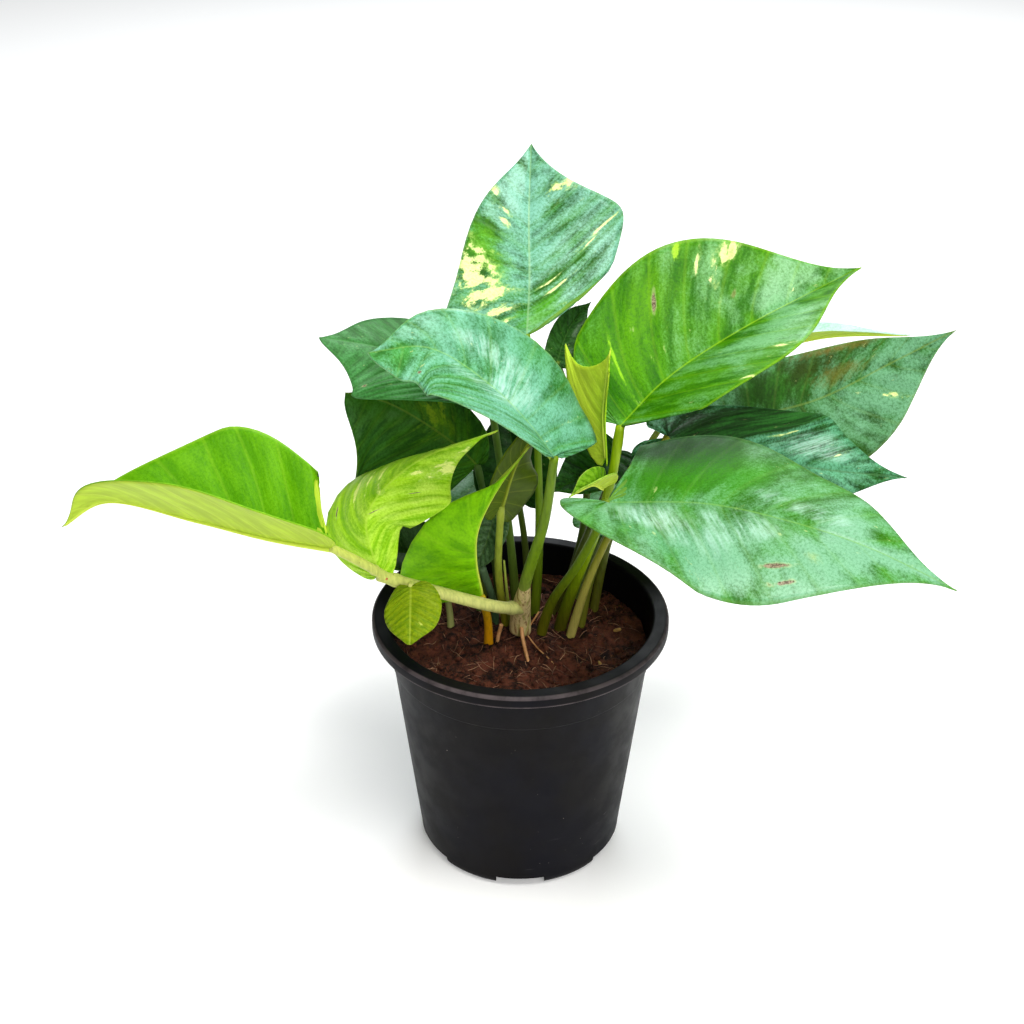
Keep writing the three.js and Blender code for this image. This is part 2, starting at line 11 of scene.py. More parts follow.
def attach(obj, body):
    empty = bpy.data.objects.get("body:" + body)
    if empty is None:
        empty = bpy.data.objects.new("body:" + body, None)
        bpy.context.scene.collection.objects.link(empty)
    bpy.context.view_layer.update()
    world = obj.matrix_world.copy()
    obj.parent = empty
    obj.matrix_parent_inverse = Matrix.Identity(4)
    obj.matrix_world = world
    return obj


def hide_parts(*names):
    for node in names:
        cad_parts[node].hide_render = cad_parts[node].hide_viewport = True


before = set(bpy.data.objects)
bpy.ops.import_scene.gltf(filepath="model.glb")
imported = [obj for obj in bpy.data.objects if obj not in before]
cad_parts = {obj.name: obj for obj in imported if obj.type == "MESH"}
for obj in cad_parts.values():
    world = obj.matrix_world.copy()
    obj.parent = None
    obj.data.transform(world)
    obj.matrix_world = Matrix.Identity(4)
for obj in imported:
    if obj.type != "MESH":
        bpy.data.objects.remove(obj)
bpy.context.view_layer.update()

MM = 0.001

# ---------------------------------------------------------------------------
# Camera
# It looks down on the plant from the front, about 0.6 m away, as a person does
# who stands over a low table.
camera_target = Vector((-3.1, 0, 142)) * MM
camera_distance = 600 * MM
camera_tilt = math.radians(29.9)
camera_data = bpy.data.cameras.new("camera")
camera_data.lens = 58.9
camera_data.sensor_width = 36
camera_data.clip_start = 0.01
camera = bpy.data.objects.new("camera", camera_data)
bpy.context.scene.collection.objects.link(camera)
away = Vector((0, -math.cos(camera_tilt), math.sin(camera_tilt)))
camera.location = camera_target + camera_distance * away
camera.rotation_euler = (math.pi / 2 - camera_tilt, 0, 0)
bpy.context.scene.camera = camera


# ---------------------------------------------------------------------------
# Nursery pot
# Thin black plastic, moulded in one piece: a tapered wall with a shallow step
# under the rim, a turned-over lip, a round heel, six feet and six drain holes.
POT_HEIGHT = 100
RIM_RADIUS = 55
RIM_DEPTH = 4.6
RIM_ROUND = 1.5
INNER_ROUND = 1.0
LIP_ROUND = 0.5
LIP_THICKNESS = 1.4
WALL = 1.3
WALL_TOP_RADIUS = 50.4
WALL_FOOT_RADIUS = 39
LEDGE_HEIGHT = 81
HEEL_HEIGHT = 5
FOOT_RADIUS = 36.3
FOOT_WIDTH = 5.6
FOOT_HEIGHT = 2.3
FOOT_COUNT = 6
HEEL_GAP_HEIGHT = 4  # the gap between two feet is taller where it leaves the ring at the heel
NOTCH_HALF_ANGLE = 14.5
NOTCH_LENGTH = 60
NOTCH_PLAY = 0.3
FLOOR_CORNER = 4
DRAIN_RADIUS = 4
DRAIN_CIRCLE = 19
DRAIN_DEPTH = 8
EDGE_BEVEL = 0.25
POT_SIDES = 144


def wall_radius(height):
    share = (height - HEEL_HEIGHT) / (POT_HEIGHT - HEEL_HEIGHT)
    return WALL_FOOT_RADIUS + (WALL_TOP_RADIUS - WALL_FOOT_RADIUS) * share


def inner(height):
    return wall_radius(height) - WALL


def arc(centre, radius, start, end, steps):
    angles = [math.radians(start + (end - start) * i / steps) for i in range(steps + 1)]
    return [(centre[0] + radius * math.cos(a), centre[1] + radius * math.sin(a)) for a in angles]


def select_only(piece=None):
    bpy.ops.object.select_all(action="DESELECT")
    bpy.context.view_layer.objects.active = piece
    if piece:
        piece.select_set(True)


def finished(piece, node_names, slot, *materials):
    """The piece moves with the plant, stands for its CAD nodes and takes the given materials; the slot is not
    used.
    """
    for material in materials:
        piece.data.materials.append(material)
    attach(piece, "root")
    if node_names:
        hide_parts(*node_names)


def turned_piece(name, outline, sides):
    """A closed round piece: one vertex is drawn along the outline, and the line is spun about Z."""
    select_only()
    start = (outline[0][0] * MM, 0, outline[0][1] * MM)
    bpy.ops.mesh.primitive_plane_add(size=MM, location=start)
    piece = bpy.context.object
    piece.name = piece.data.name = name
    bpy.ops.object.transform_apply(location=True, rotation=False, scale=False)
    bpy.ops.object.mode_set(mode="EDIT")
    bpy.ops.mesh.merge(type="CENTER")
    for (r0, z0), (r1, z1) in zip(outline, outline[1:]):
        step = ((r1 - r0) * MM, 0, (z1 - z0) * MM)
        bpy.ops.mesh.extrude_region_move(TRANSFORM_OT_translate={"value": step})
    bpy.ops.mesh.select_all(action="SELECT")
    bpy.ops.mesh.spin(steps=sides, angle=2 * math.pi, center=(0, 0, 0), axis=(0, 0, 1))
    bpy.ops.mesh.select_all(action="SELECT")
    bpy.ops.mesh.remove_doubles(threshold=0.005 * MM)
    bpy.ops.mesh.normals_make_consistent(inside=False)
    bpy.ops.object.mode_set(mode="OBJECT")
    return piece


def apply_modifier(piece, kind, **settings):
    modifier = piece.modifiers.new(kind.lower(), kind)
    for key, value in settings.items():
        setattr(modifier, key, value)
    select_only(piece)
    bpy.ops.object.modifier_apply(modifier=modifier.name)


floor_top = FOOT_HEIGHT + WALL
ring_inside = FOOT_RADIUS - FOOT_WIDTH
lip_foot = POT_HEIGHT - RIM_DEPTH
lip_under = POT_HEIGHT - LIP_THICKNESS
lip_inside = RIM_RADIUS - LIP_THICKNESS
ledge = wall_radius(LEDGE_HEIGHT)
heel = [
    (1 - t) ** 2 * np.array([FOOT_RADIUS, 0.0])
    + 2 * t * (1 - t) * np.array([WALL_FOOT_RADIUS, 1.0])
    + t ** 2 * np.array([wall_radius(HEEL_HEIGHT), HEEL_HEIGHT])
    for t in np.linspace(0, 1, 9)
]
pot_outline = (
    [(0, FOOT_HEIGHT), (ring_inside, FOOT_HEIGHT), (ring_inside, 0.3), (ring_inside + 0.3, 0)]
    + [tuple(p) for p in heel]
    + [(ledge - 0.5, LEDGE_HEIGHT - 0.3), (ledge - 0.42, LEDGE_HEIGHT)]
    + [(ledge - 0.05, LEDGE_HEIGHT + 0.35), (ledge + 0.05, LEDGE_HEIGHT + 0.7)]
    + [(wall_radius(lip_under), lip_under), (lip_inside, lip_under)]
    + [(lip_inside, lip_foot + 0.2), (lip_inside + 0.2, lip_foot)]
    + arc((RIM_RADIUS - LIP_ROUND, lip_foot + LIP_ROUND), LIP_ROUND, -80, 0, 4)
    + arc((RIM_RADIUS - RIM_ROUND, POT_HEIGHT - RIM_ROUND), RIM_ROUND, 0, 90, 8)
    + arc((inner(POT_HEIGHT) + INNER_ROUND, POT_HEIGHT - INNER_ROUND), INNER_ROUND, 90, 180, 5)
    + [(inner(floor_top + FLOOR_CORNER), floor_top + FLOOR_CORNER)]
    + [(inner(floor_top) - 1.2, floor_top + 1.2), (inner(floor_top) - FLOOR_CORNER, floor_top)]
    + [(0, floor_top)]
)
pot = turned_piece("nursery_pot", pot_outline, POT_SIDES)

cutters = []
notch_width = 2 * FOOT_RADIUS * math.sin(math.radians(NOTCH_HALF_ANGLE)) * MM
ring_gap = (ring_inside - NOTCH_PLAY, FOOT_HEIGHT)
heel_gap = (FOOT_RADIUS - NOTCH_PLAY, HEEL_GAP_HEIGHT)
for i in range(FOOT_COUNT):
    around = math.radians(360 / FOOT_COUNT * i - 90)
    for start, height in (ring_gap, heel_gap):
        select_only()
        bpy.ops.mesh.primitive_cube_add(size=1, location=(0, 0, 0))
        notch = bpy.context.object
        notch.scale = (NOTCH_LENGTH * MM, notch_width, 2 * height * MM)
        middle = start * MM + NOTCH_LENGTH * MM / 2
        notch.location = (middle * math.cos(around), middle * math.sin(around), 0)
        notch.rotation_euler = (0, 0, around)
        bpy.ops.object.transform_apply(location=True, rotation=True, scale=True)
        cutters.append(notch)
    select_only()
    bpy.ops.mesh.primitive_cylinder_add(
        vertices=32, radius=DRAIN_RADIUS * MM, depth=DRAIN_DEPTH * MM,
        location=(DRAIN_CIRCLE * MM * math.cos(around), DRAIN_CIRCLE * MM * math.sin(around), 3 * MM))
    bpy.ops.object.transform_apply(location=True, rotation=True, scale=True)
    cutters.append(bpy.context.object)
for cutter in cutters:
    apply_modifier(pot, "BOOLEAN", object=cutter, operation="DIFFERENCE", solver="EXACT")
    bpy.data.objects.remove(cutter)
apply_modifier(pot, "BEVEL", width=EDGE_BEVEL * MM, segments=2, limit_method="ANGLE",
               angle_limit=math.radians(50))
select_only(pot)
bpy.ops.object.shade_smooth_by_angle(angle=math.radians(40))


def srgb(code):
    """A colour as a painter names it on a screen, made linear for the shader."""
    parts = [int(code[i:i + 2], 16) / 255 for i in (0, 2, 4)]
    return tuple(p / 12.92 if p <= 0.04045 else ((p + 0.055) / 1.055) ** 2.4 for p in parts) + (1,)


class Paint:
    """Short calls that add shader nodes to one node tree."""

    def __init__(self, tree):
        self.nodes, self.links = tree.nodes, tree.links

    def feed(self, socket, value):
        """A socket takes another node's output, a screen colour such as "5fa60c", or a plain value."""
        if hasattr(value, "is_linked"):
            self.links.new(value, socket)
        else:
            socket.default_value = srgb(value) if isinstance(value, str) else value

    def node(self, kind, inputs=None, output=0, **settings):
        """The output of a new node, after its settings and inputs are made."""
        node = self.nodes.new("ShaderNode" + kind)
        for key, value in settings.items():
            setattr(node, key, value)
        for key, value in (inputs or {}).items():
            self.feed(node.inputs[key], value)
        return node.outputs[output]

    def math(self, operation, *values):
        return self.node("Math", dict(enumerate(values)), operation=operation)

    def times(self, first, second):
        return self.math("MULTIPLY", first, second)

    def plus(self, first, *more):
        for second in more:
            first = self.math("ADD", first, second)
        return first

    def minus(self, first, second):
        return self.math("SUBTRACT", first, second)

    def ramp(self, value, low, high, to_low=0.0, to_high=1.0):
        """The value's smooth way from one level to another."""
        inputs = {"Value": value, "From Min": low, "From Max": high, "To Min": to_low, "To Max": to_high}
        return self.node("MapRange", inputs, "Result", interpolation_type="SMOOTHSTEP")

    def blend(self, share, first, second, mode="MIX"):
        """Two colours mixed; a Mix node keeps its colours in sockets 6 and 7 and the result in 2."""
        return self.node("Mix", {0: share, 6: first, 7: second}, 2, data_type="RGBA", blend_type=mode)

    def noise(self, vector, scale, detail=4.0, roughness=0.55):
        inputs = {"Vector": vector, "Scale": scale, "Detail": detail, "Roughness": roughness}
        return self.node("TexNoise", inputs, "Fac")

    def stretched(self, vector, scale, location=(0, 0, 0), turn=(0, 0, 0)):
        return self.node("Mapping", {"Vector": vector, "Scale": scale, "Location": location, "Rotation": turn})

    def length(self, vector):
        return self.node("VectorMath", {0: vector}, "Value", operation="LENGTH")

    def axis(self, vector, letter):
        return self.node("SeparateXYZ", {0: vector}, letter)

    def bump(self, height, strength, distance):
        return self.node("Bump", {"Height": height, "Strength": strength, "Distance": distance}, "Normal")


class Skin(Paint):
    """A new material, whose colour is laid on tone by tone."""

    def __init__(self, name):
        self.material = bpy.data.materials.new(name)
        self.material.use_nodes = True
        super().__init__(self.material.node_tree)
        self.colour = None

    def place(self):
        """Where a point is on the piece, in the piece's own coordinates."""
        return self.node("TexCoord", output="Object")

    def lay(self, tone, mask, amount=None):
        """A tone over the colour so far, where the mask is high."""
        share = mask if amount is None else self.times(mask, amount)
        self.colour = self.blend(share, self.colour, tone)

    def dressed(self, roughness, specular, normal, **more):
        """The material, with its colour and the rest fed to the shader."""
        inputs = {"Base Color": self.colour, "Roughness": roughness, "Specular IOR Level": specular,
                  "Normal": normal, **more}
        for key, value in inputs.items():
            self.feed(self.nodes["Principled BSDF"].inputs[key], value)
        return self.material


def black_plastic():
    """Recycled black plastic: a little blue-brown cloud, fine grain, specks, light rubs and a painted highlight
    on the rim.
    """
    skin = Skin("black_plastic")
    place = skin.place()
    cloud = skin.noise(place, 35, 3)
    skin.colour = skin.blend(skin.ramp(cloud, 0.35, 0.65), "0c0a0b", "0b0b12")
    rub_place = skin.stretched(place, (60, 60, 420), turn=(0.2, 0.1, 0))
    rubs = skin.ramp(skin.noise(rub_place, 1, 5, 0.7), 0.63, 0.72)
    rub_area = skin.ramp(skin.noise(place, 22, 2), 0.5, 0.62)
    skin.lay("5a5658", skin.times(rubs, rub_area), 0.35)
    specks = skin.ramp(skin.noise(place, 700, 2, 0.5), 0.74, 0.79)
    speck_area = skin.ramp(skin.noise(place, 30, 2), 0.52, 0.6)
    skin.lay("8a8078", skin.times(specks, speck_area), 0.5)
    # Painted highlight: a lighter grey band round the outside of the rim's shoulder and along the lip's lower
    # edge, where light catches the rolled edge, broken up by noise.
    height = skin.axis(place, "Z")
    from_axis = skin.length(skin.node("VectorMath", {0: place, 1: (1, 1, 0)}, operation="MULTIPLY"))
    outside = skin.ramp(from_axis, 53.7 * MM, 54.3 * MM)
    shoulder = skin.ramp(height, 98.6 * MM, 99.0 * MM)
    lip = skin.ramp(height, 95.9 * MM, 96.3 * MM, 1.0, 0.0)
    lip = skin.times(lip, skin.ramp(height, 95.3 * MM, 95.6 * MM))
    painted_rim_highlight = skin.times(skin.math("MAXIMUM", shoulder, lip), outside)
    highlight_breakup = skin.noise(place, 120, 4, 0.65)
    skin.lay("6a6062", skin.times(painted_rim_highlight, skin.ramp(highlight_breakup, 0.3, 0.6, 0.4, 1.0)), 0.45)
    smudge = skin.noise(place, 90, 4, 0.6)
    grain = skin.noise(place, 1400, 3, 0.6)
    return skin.dressed(skin.ramp(smudge, 0.3, 0.7, 0.42, 0.55), 0.07, skin.bump(grain, 0.12, 0.1 * MM))


pot.data.materials.clear()
finished(pot, ["pot"], "pot", black_plastic())


# ---------------------------------------------------------------------------
# Soil
# Damp red-brown peat with coco fibre, pressed lightly into the pot and lumpy
# on top, with loose crumbs, short fibres and four pebbles lying on it.
SOIL_HEIGHT = 88
SOIL_SINK = 1.5
SOIL_GAP = 0.3
SOIL_RINGS = 70
SOIL_SIDES = 200
SOIL_LUMP = 1.6
MOUND_WIDTH = 4.7
CRUMB_WIDTH = 1.7
CRUMB_COUNT = 1500
FIBRE_COUNT = 230


def soil_side(height):
    return inner(height) - SOIL_GAP


def smooth_shaded(piece):
    for polygon in piece.data.polygons:
        polygon.use_smooth = True


soil_floor = floor_top + SOIL_GAP
soil_edge = soil_side(SOIL_HEIGHT) - 0.1
soil_outline = [(0, soil_floor), (soil_side(soil_floor) - FLOOR_CORNER, soil_floor)]
soil_outline += [(soil_side(soil_floor + FLOOR_CORNER), soil_floor + FLOOR_CORNER)]
soil_outline += [(soil_side(SOIL_HEIGHT - 4), SOIL_HEIGHT - 4), (soil_edge, SOIL_HEIGHT - SOIL_SINK)]
soil_outline += [(soil_edge * i / SOIL_RINGS, SOIL_HEIGHT) for i in range(SOIL_RINGS, -1, -1)]
soil = turned_piece("peat_soil", soil_outline, SOIL_SIDES)
for vertex in soil.data.vertices:
    if vertex.co.z < (SOIL_HEIGHT - 0.1) * MM:
        continue
    x, y = vertex.co.x / MM, vertex.co.y / MM
    reach = math.hypot(x, y) / WALL_TOP_RADIUS
    mounds = math.sin(x / MOUND_WIDTH + 1.1) * math.cos(y / MOUND_WIDTH - 0.4)
    crumbs = math.sin((x - y) / CRUMB_WIDTH) + math.cos((0.4 * x + y) / CRUMB_WIDTH)
    rise = SOIL_LUMP * (mounds + 0.15 * crumbs) * (1 - 0.5 * reach) - SOIL_SINK * reach ** 4
    vertex.co.z += rise * MM
top_group = soil.vertex_groups.new(name="surface")
top_group.add([v.index for v in soil.data.vertices if v.co.z > (SOIL_HEIGHT - 5) * MM], 1.0, "REPLACE")
for texture_name, size, strength in (
    ("soil_lumps", 3.2, 2.6), ("soil_crumbs_small", 1.1, 1.5), ("soil_grit", 0.45, 0.6)
):
    texture = bpy.data.textures.new(texture_name, "CLOUDS")
    texture.noise_scale = size * MM
    texture.noise_depth = 2
    apply_modifier(soil, "DISPLACE", texture=texture, strength=strength * MM, mid_level=0.55,
                   direction="Z", vertex_group="surface")
smooth_shaded(soil)
select_only()
soil_tree = BVHTree.FromObject(soil, bpy.context.evaluated_depsgraph_get())


def soil_surface(x, y):
    """Height in mm of the soil under a point."""
    hit = soil_tree.ray_cast(Vector((x * MM, y * MM, 0.2)), Vector((0, 0, -1)))[0]
    return hit.z / MM if hit else SOIL_HEIGHT


def peat():
    """Damp peat: dark red-brown crumbs, redder fibre and a few tan grains."""
    skin = Skin("peat")
    place = skin.place()
    crumbly = skin.noise(place, 230, 6, 0.75)
    skin.colour = skin.blend(skin.ramp(crumbly, 0.38, 0.62), "190b07", "5e3222")
    skin.lay("6e3a2a", skin.ramp(skin.noise(place, 60, 3), 0.5, 0.7), 0.5)
    fibre_place = skin.stretched(place, (900, 260, 500), turn=(0.3, 0.2, 0.7))
    skin.lay("8f6045", skin.ramp(skin.noise(fibre_place, 1, 3, 0.6), 0.66, 0.76), 0.4)
    lumps = skin.plus(skin.noise(place, 1100, 5, 0.7), skin.noise(place, 330, 4, 0.65))
    return skin.dressed(0.85, 0.2, skin.bump(lumps, 1.0, 0.9 * MM))


peat_material = peat()
soil.data.materials.clear()
finished(soil, ["soil"], "soil", peat_material)


def mesh_piece(name, places, faces):
    """A smooth object with these corners, in mm, and these faces."""
    mesh = bpy.data.meshes.new(name)
    mesh.from_pydata([tuple(float(c) * MM for c in p) for p in places], [], faces)
    mesh.validate()
    piece = bpy.data.objects.new(name, mesh)
    bpy.context.scene.collection.objects.link(piece)
    smooth_shaded(piece)
    return piece


class Heap:
    """Corners and faces of many small forms, which become one piece."""

    def __init__(self):
        self.places, self.faces = [], []

    def add(self, places, faces):
        start = len(self.places)
        self.places += list(places)
        self.faces += [tuple(start + i for i in face) for face in faces]

    def piece(self, name):
        return mesh_piece(name, self.places, self.faces)


def ball_shape(subdivisions):
    """Corners and faces of a ball, to be reshaped for each crumb or pebble."""
    select_only()
    bpy.ops.mesh.primitive_ico_sphere_add(subdivisions=subdivisions, radius=1)
    ball = bpy.context.object
    corners = np.array([v.co[:] for v in ball.data.vertices])
    faces = [tuple(p.vertices) for p in ball.data.polygons]
    bpy.data.objects.remove(ball)
    return corners, faces


def spin_matrix(draw):
    """A random turn."""
    a, b, c = (draw.uniform(0, 2 * math.pi) for _ in range(3))
    turn_z = np.array([[math.cos(a), -math.sin(a), 0], [math.sin(a), math.cos(a), 0], [0, 0, 1]])
    turn_x = np.array([[1, 0, 0], [0, math.cos(b), -math.sin(b)], [0, math.sin(b), math.cos(b)]])
    turn_y = np.array([[math.cos(c), 0, math.sin(c)], [0, 1, 0], [-math.sin(c), 0, math.cos(c)]])
    return turn_z @ turn_x @ turn_y


crumb_corners, crumb_faces = ball_shape(1)
draw = random.Random(5)
crumb_heap = Heap()
for _ in range(CRUMB_COUNT):
    reach = (soil_edge - 1.5) * math.sqrt(draw.random())
    around = draw.uniform(0, 2 * math.pi)
    x, y = reach * math.cos(around), reach * math.sin(around)
    size = 0.35 + 1.15 * draw.random() ** 3.5
    shape = crumb_corners * np.array([draw.uniform(0.6, 1.25) for _ in range(3)]) * size
    shape = shape * (1 + 0.25 * np.array([[draw.uniform(-1, 1)] for _ in shape]))
    shape = shape @ spin_matrix(draw).T + np.array([x, y, soil_surface(x, y) + 0.3 * size])
    crumb_heap.add(shape, crumb_faces)
finished(crumb_heap.piece("soil_crumbs"), [], "soil", peat_material)


def unit(vectors):
    return vectors / np.linalg.norm(vectors, axis=-1, keepdims=True)


def smooth_path(points, count=200):
    """Evenly spaced points along a smooth line through the given ones, and its length."""
    p = np.array(points, float)
    p = np.vstack([2 * p[0] - p[1], p, 2 * p[-1] - p[-2]])
    dense = []
    for a, b, c, d in zip(p[:-3], p[1:-2], p[2:-1], p[3:]):
        ab, bc, cd = (np.linalg.norm(q - r) ** 0.5 for q, r in ((b, a), (c, b), (d, c)))
        leave = ((b - a) / ab - (c - a) / (ab + bc) + (c - b) / bc) * bc
        arrive = ((c - b) / bc - (d - b) / (bc + cd) + (d - c) / cd) * bc
        t = np.linspace(0, 1, 60, endpoint=False)[:, None]
        cubic = 2 * b - 2 * c + leave + arrive
        square = -3 * b + 3 * c - 2 * leave - arrive
        dense.append(b + leave * t + square * t ** 2 + cubic * t ** 3)
    dense = np.vstack(dense + [p[-2:-1]])
    steps = np.linalg.norm(np.diff(dense, axis=0), axis=1)
    run = np.concatenate([[0], np.cumsum(steps)])
    at = np.linspace(0, run[-1], count)
    return np.stack([np.interp(at, run, dense[:, k]) for k in range(3)], 1), run[-1]


def rod_surface(path, radii, sides, flat=1.0):
    """Corners and faces of a closed rod along a path; `flat` below 1 makes it oval."""
    tangent = unit(np.gradient(path, axis=0))
    across = np.cross(tangent[0], [0.3, 1, 0.2])
    places, faces = [], []
    for centre, along, radius in zip(path, tangent, radii):
        across = across - along * np.dot(across, along)
        across /= np.linalg.norm(across)
        other = np.cross(along, across)
        for k in range(sides):
            angle = 2 * math.pi * k / sides
            places.append(centre + radius * (math.cos(angle) * across + flat * math.sin(angle) * other))
    for i in range(len(path) - 1):
        for k in range(sides):
            a, b = i * sides + k, i * sides + (k + 1) % sides
            faces.append((a, b, b + sides, a + sides))
    last = (len(path) - 1) * sides
    places += [path[0] - tangent[0] * radii[0] * 0.3, path[-1] + tangent[-1] * radii[-1] * 0.3]
    foot, head = len(places) - 2, len(places) - 1
    for k in range(sides):
        faces.append((foot, (k + 1) % sides, k))
        faces.append((head, last + k, last + (k + 1) % sides))
    return places, faces


def rod_piece(name, rods, sides, flat=1.0):
    """One piece made of rods, each given as the points it passes and its radii from end to end."""
    heap = Heap()
    for points, radii in rods:
        heap.add(*rod_surface(smooth_path(points, len(radii))[0], radii, sides, flat))
    return heap.piece(name)


fibre_taper = np.array([0.5, 0.9, 1, 1, 1, 0.8, 0.3])
fibre_rods = []
for _ in range(FIBRE_COUNT):
    reach = (soil_edge - 4) * math.sqrt(draw.random())
    around = draw.uniform(0, 2 * math.pi)
    heading = draw.uniform(0, 2 * math.pi)
    length = draw.uniform(2.5, 11)
    bend = draw.uniform(-0.5, 0.5)
    lift = draw.uniform(-0.2, 0.9)
    radius = draw.uniform(0.06, 0.16)
    points = []
    for share in (0, 0.25, 0.5, 0.75, 1):
        turn = heading + bend * share
        x = reach * math.cos(around) + (share - 0.5) * length * math.cos(turn)
        y = reach * math.sin(around) + (share - 0.5) * length * math.sin(turn)
        if math.hypot(x, y) > soil_edge - 0.6:
            break
        height = soil_surface(x, y) + 0.1 + lift * math.sin(math.pi * share) + draw.uniform(0, 0.3)
        points.append((x, y, height))
    else:
        fibre_rods.append((points, radius * fibre_taper))


def plain_mottled(name, first, second, scale, roughness, relief=0.3):
    """A dull natural skin in two shades, such as root, fibre or pebble."""
    skin = Skin(name)
    place = skin.place()
    skin.colour = skin.blend(skin.ramp(skin.noise(place, scale, 4, 0.6), 0.35, 0.65), first, second)
    return skin.dressed(roughness, 0.5, skin.bump(skin.noise(place, scale * 5, 3, 0.6), relief, 0.2 * MM))


finished(rod_piece("coco_fibres", fibre_rods, 4), [], "soil",
         plain_mottled("fibre_brown", "4a2a1e", "a87c5e", 90, 0.7))

ball_corners, ball_faces = ball_shape(3)
pebble_heap = Heap()
for x, y, size, seed in ((-25, -33, 2.1, 3), (-22.6, -33.6, 1.3, 8), (36.5, 3.5, 1.2, 11), (29, -16, 1.0, 12)):
    wave = 1 + 0.12 * np.sin(2.3 * ball_corners[:, :1] + seed)
    wave = wave + 0.1 * np.sin(3.1 * ball_corners[:, 1:2] + 2 * seed)
    shape = ball_corners * wave * np.array([1.25, 0.95, 0.75]) * size
    shape = shape @ spin_matrix(random.Random(seed)).T * np.array([1, 1, 0.8])
    pebble_heap.add(shape + np.array([x, y, soil_surface(x, y) + 0.45 * size]), ball_faces)
finished(pebble_heap.piece("pebbles"), [], "soil",
         plain_mottled("pebble_ochre", "7a5a2c", "a9813f", 300, 0.7))


# ---------------------------------------------------------------------------
# Leaf stalks
# Each leaf stands on a smooth green stalk that is thicker at the soil, slightly
# flattened, and has a short swollen joint where it meets the blade.
# Each entry is the path and the radius at soil and blade, in mm, then the
# colours at the soil and at the top.
STALKS = {
    "top": ([[5, 17, 78], [7, 20, 115], [6, 23, 160], [2, 18, 203]], 1.6, 1.3, "5a6a0c", "6a8c10"),
    "upper_right": ([[13, 8, 78], [18, 4, 102], [27, -2, 135], [32, -3, 158], [34.5, -1, 177]], 2.0, 1.6,
                    "4a4808", "7f9c04"),
    "lower_right": ([[6, 4, 78], [11, 0, 102], [20, -11, 126], [27, -23, 150], [29, -30, 163]], 1.7, 1.5,
                    "5c5a0a", "5f7a0c"),
    "back_left": ([[-1, 23, 78], [-4, 22, 120], [-11, 18, 180]], 1.6, 1.3, "4c5a1c", "5a7a2a"),
    "dark_left": ([[-7, 25, 78], [-11, 30, 115], [-16, 28, 146]], 1.5, 1.3, "3c4a1c", "4a6a2a"),
    "low_front": ([[-12, -1, 78], [-12, -7, 100], [-14, -14, 115]], 1.7, 1.4, "e09a08", "b4ac1c"),
    "olive": ([[-4, 12, 78], [-8, 1, 115], [-7, -8, 149]], 1.5, 1.3, "8f8c1c", "9aa83c"),
    "dark_middle": ([[10, 14, 78], [22, 20, 112], [32, 24, 138], [36, 24, 154]], 1.3, 1.2, "4c4a16", "5a6a22"),
    "far_right": ([[21, 7, 78], [29, 14, 115], [52, 36, 145], [77, 50, 153]], 1.6, 1.3, "6a6a1c", "6a7a24"),
    "middle_right": ([[17, 4, 78], [26, 2, 115], [40, 8, 145], [53, 18, 163]], 1.5, 1.3, "b9ac5a", "8a8a24"),
    "far_back": ([[27, 20, 78], [34, 27, 115], [50, 54, 141], [67, 72, 156]], 1.5, 1.2, "5a5a18", "6a7a24"),
    "dark_low": ([[-26, 8, 78], [-27, 8, 98], [-32, 11, 117]], 1.3, 1.1, "a3a864", "7a8a44"),
    "small_grey": ([[-16, 18, 78], [-14, 15, 115], [-9, 10, 136]], 1.1, 0.9, "5a6a34", "7a8a4c"),
    "centre_back": ([[14, 24, 78], [24, 30, 118], [24, 32, 150], [13, 28, 188]], 1.5, 1.2, "46481c", "56701e"),
    "shaded": ([[3, 30, 78], [2, 38, 105], [-1, 38, 128]], 1.4, 1.2, "46481c", "56701e"),
    "rear_left": ([[-12, 28, 78], [-15, 31, 100], [-20, 36, 120]], 1.5, 1.3, "5a6a24", "6a8a34"),
    "rear_right": ([[20, 26, 78], [26, 34, 98], [34, 44, 112]], 1.5, 1.3, "5a6a24", "6a8a34"),
}
STALK_SIDES = 16
STALK_FLAT = 0.88
STALK_STEP = 1.6


def stalk_skin(name, low, high, low_height=86, high_height=130):
    """Green stalk skin: one shade at the soil, another above, with fine long streaks and dark dots."""
    skin = Skin(name)
    place = skin.place()
    skin.colour = skin.blend(skin.ramp(skin.axis(place, "Z"), low_height * MM, high_height * MM), low, high)
    long_place = skin.stretched(place, (900, 900, 60))
    darker = skin.blend(1.0, skin.colour, (0.55, 0.6, 0.5, 1), "MULTIPLY")
    skin.lay(darker, skin.ramp(skin.noise(long_place, 1, 4, 0.6), 0.4, 0.7), 0.6)
    skin.lay("4a3418", skin.ramp(skin.noise(place, 900, 2), 0.72, 0.77), 0.5)
    return skin.dressed(0.45, 0.2, skin.bump(skin.noise(long_place, 2.2, 3, 0.6), 0.35, 0.15 * MM))


def stalk_radii(count, foot, top, joint=0.16, sheath=0.2):
    """Radius along a stalk: wider where it sheathes the stem, with a swollen joint under the blade."""
    share = np.linspace(0, 1, count)
    radius = foot + (top - foot) * share
    radius = radius * (1 + sheath * np.exp(-((share - 0.12) / 0.18) ** 2))
    return radius * (1 + joint * np.exp(-((share - 0.94) / 0.04) ** 2))


for stalk_name, (points, foot, top, low, high) in STALKS.items():
    count = max(24, int(np.ptp(np.array(points)[:, 2]) / STALK_STEP))
    rods = [(points, stalk_radii(count, foot, top))]
    stalk = rod_piece("petiole_" + stalk_name, rods, STALK_SIDES, STALK_FLAT)
    finished(stalk, ["stalk_" + stalk_name], "stalk", stalk_skin("stalk_skin_" + stalk_name, low, high))


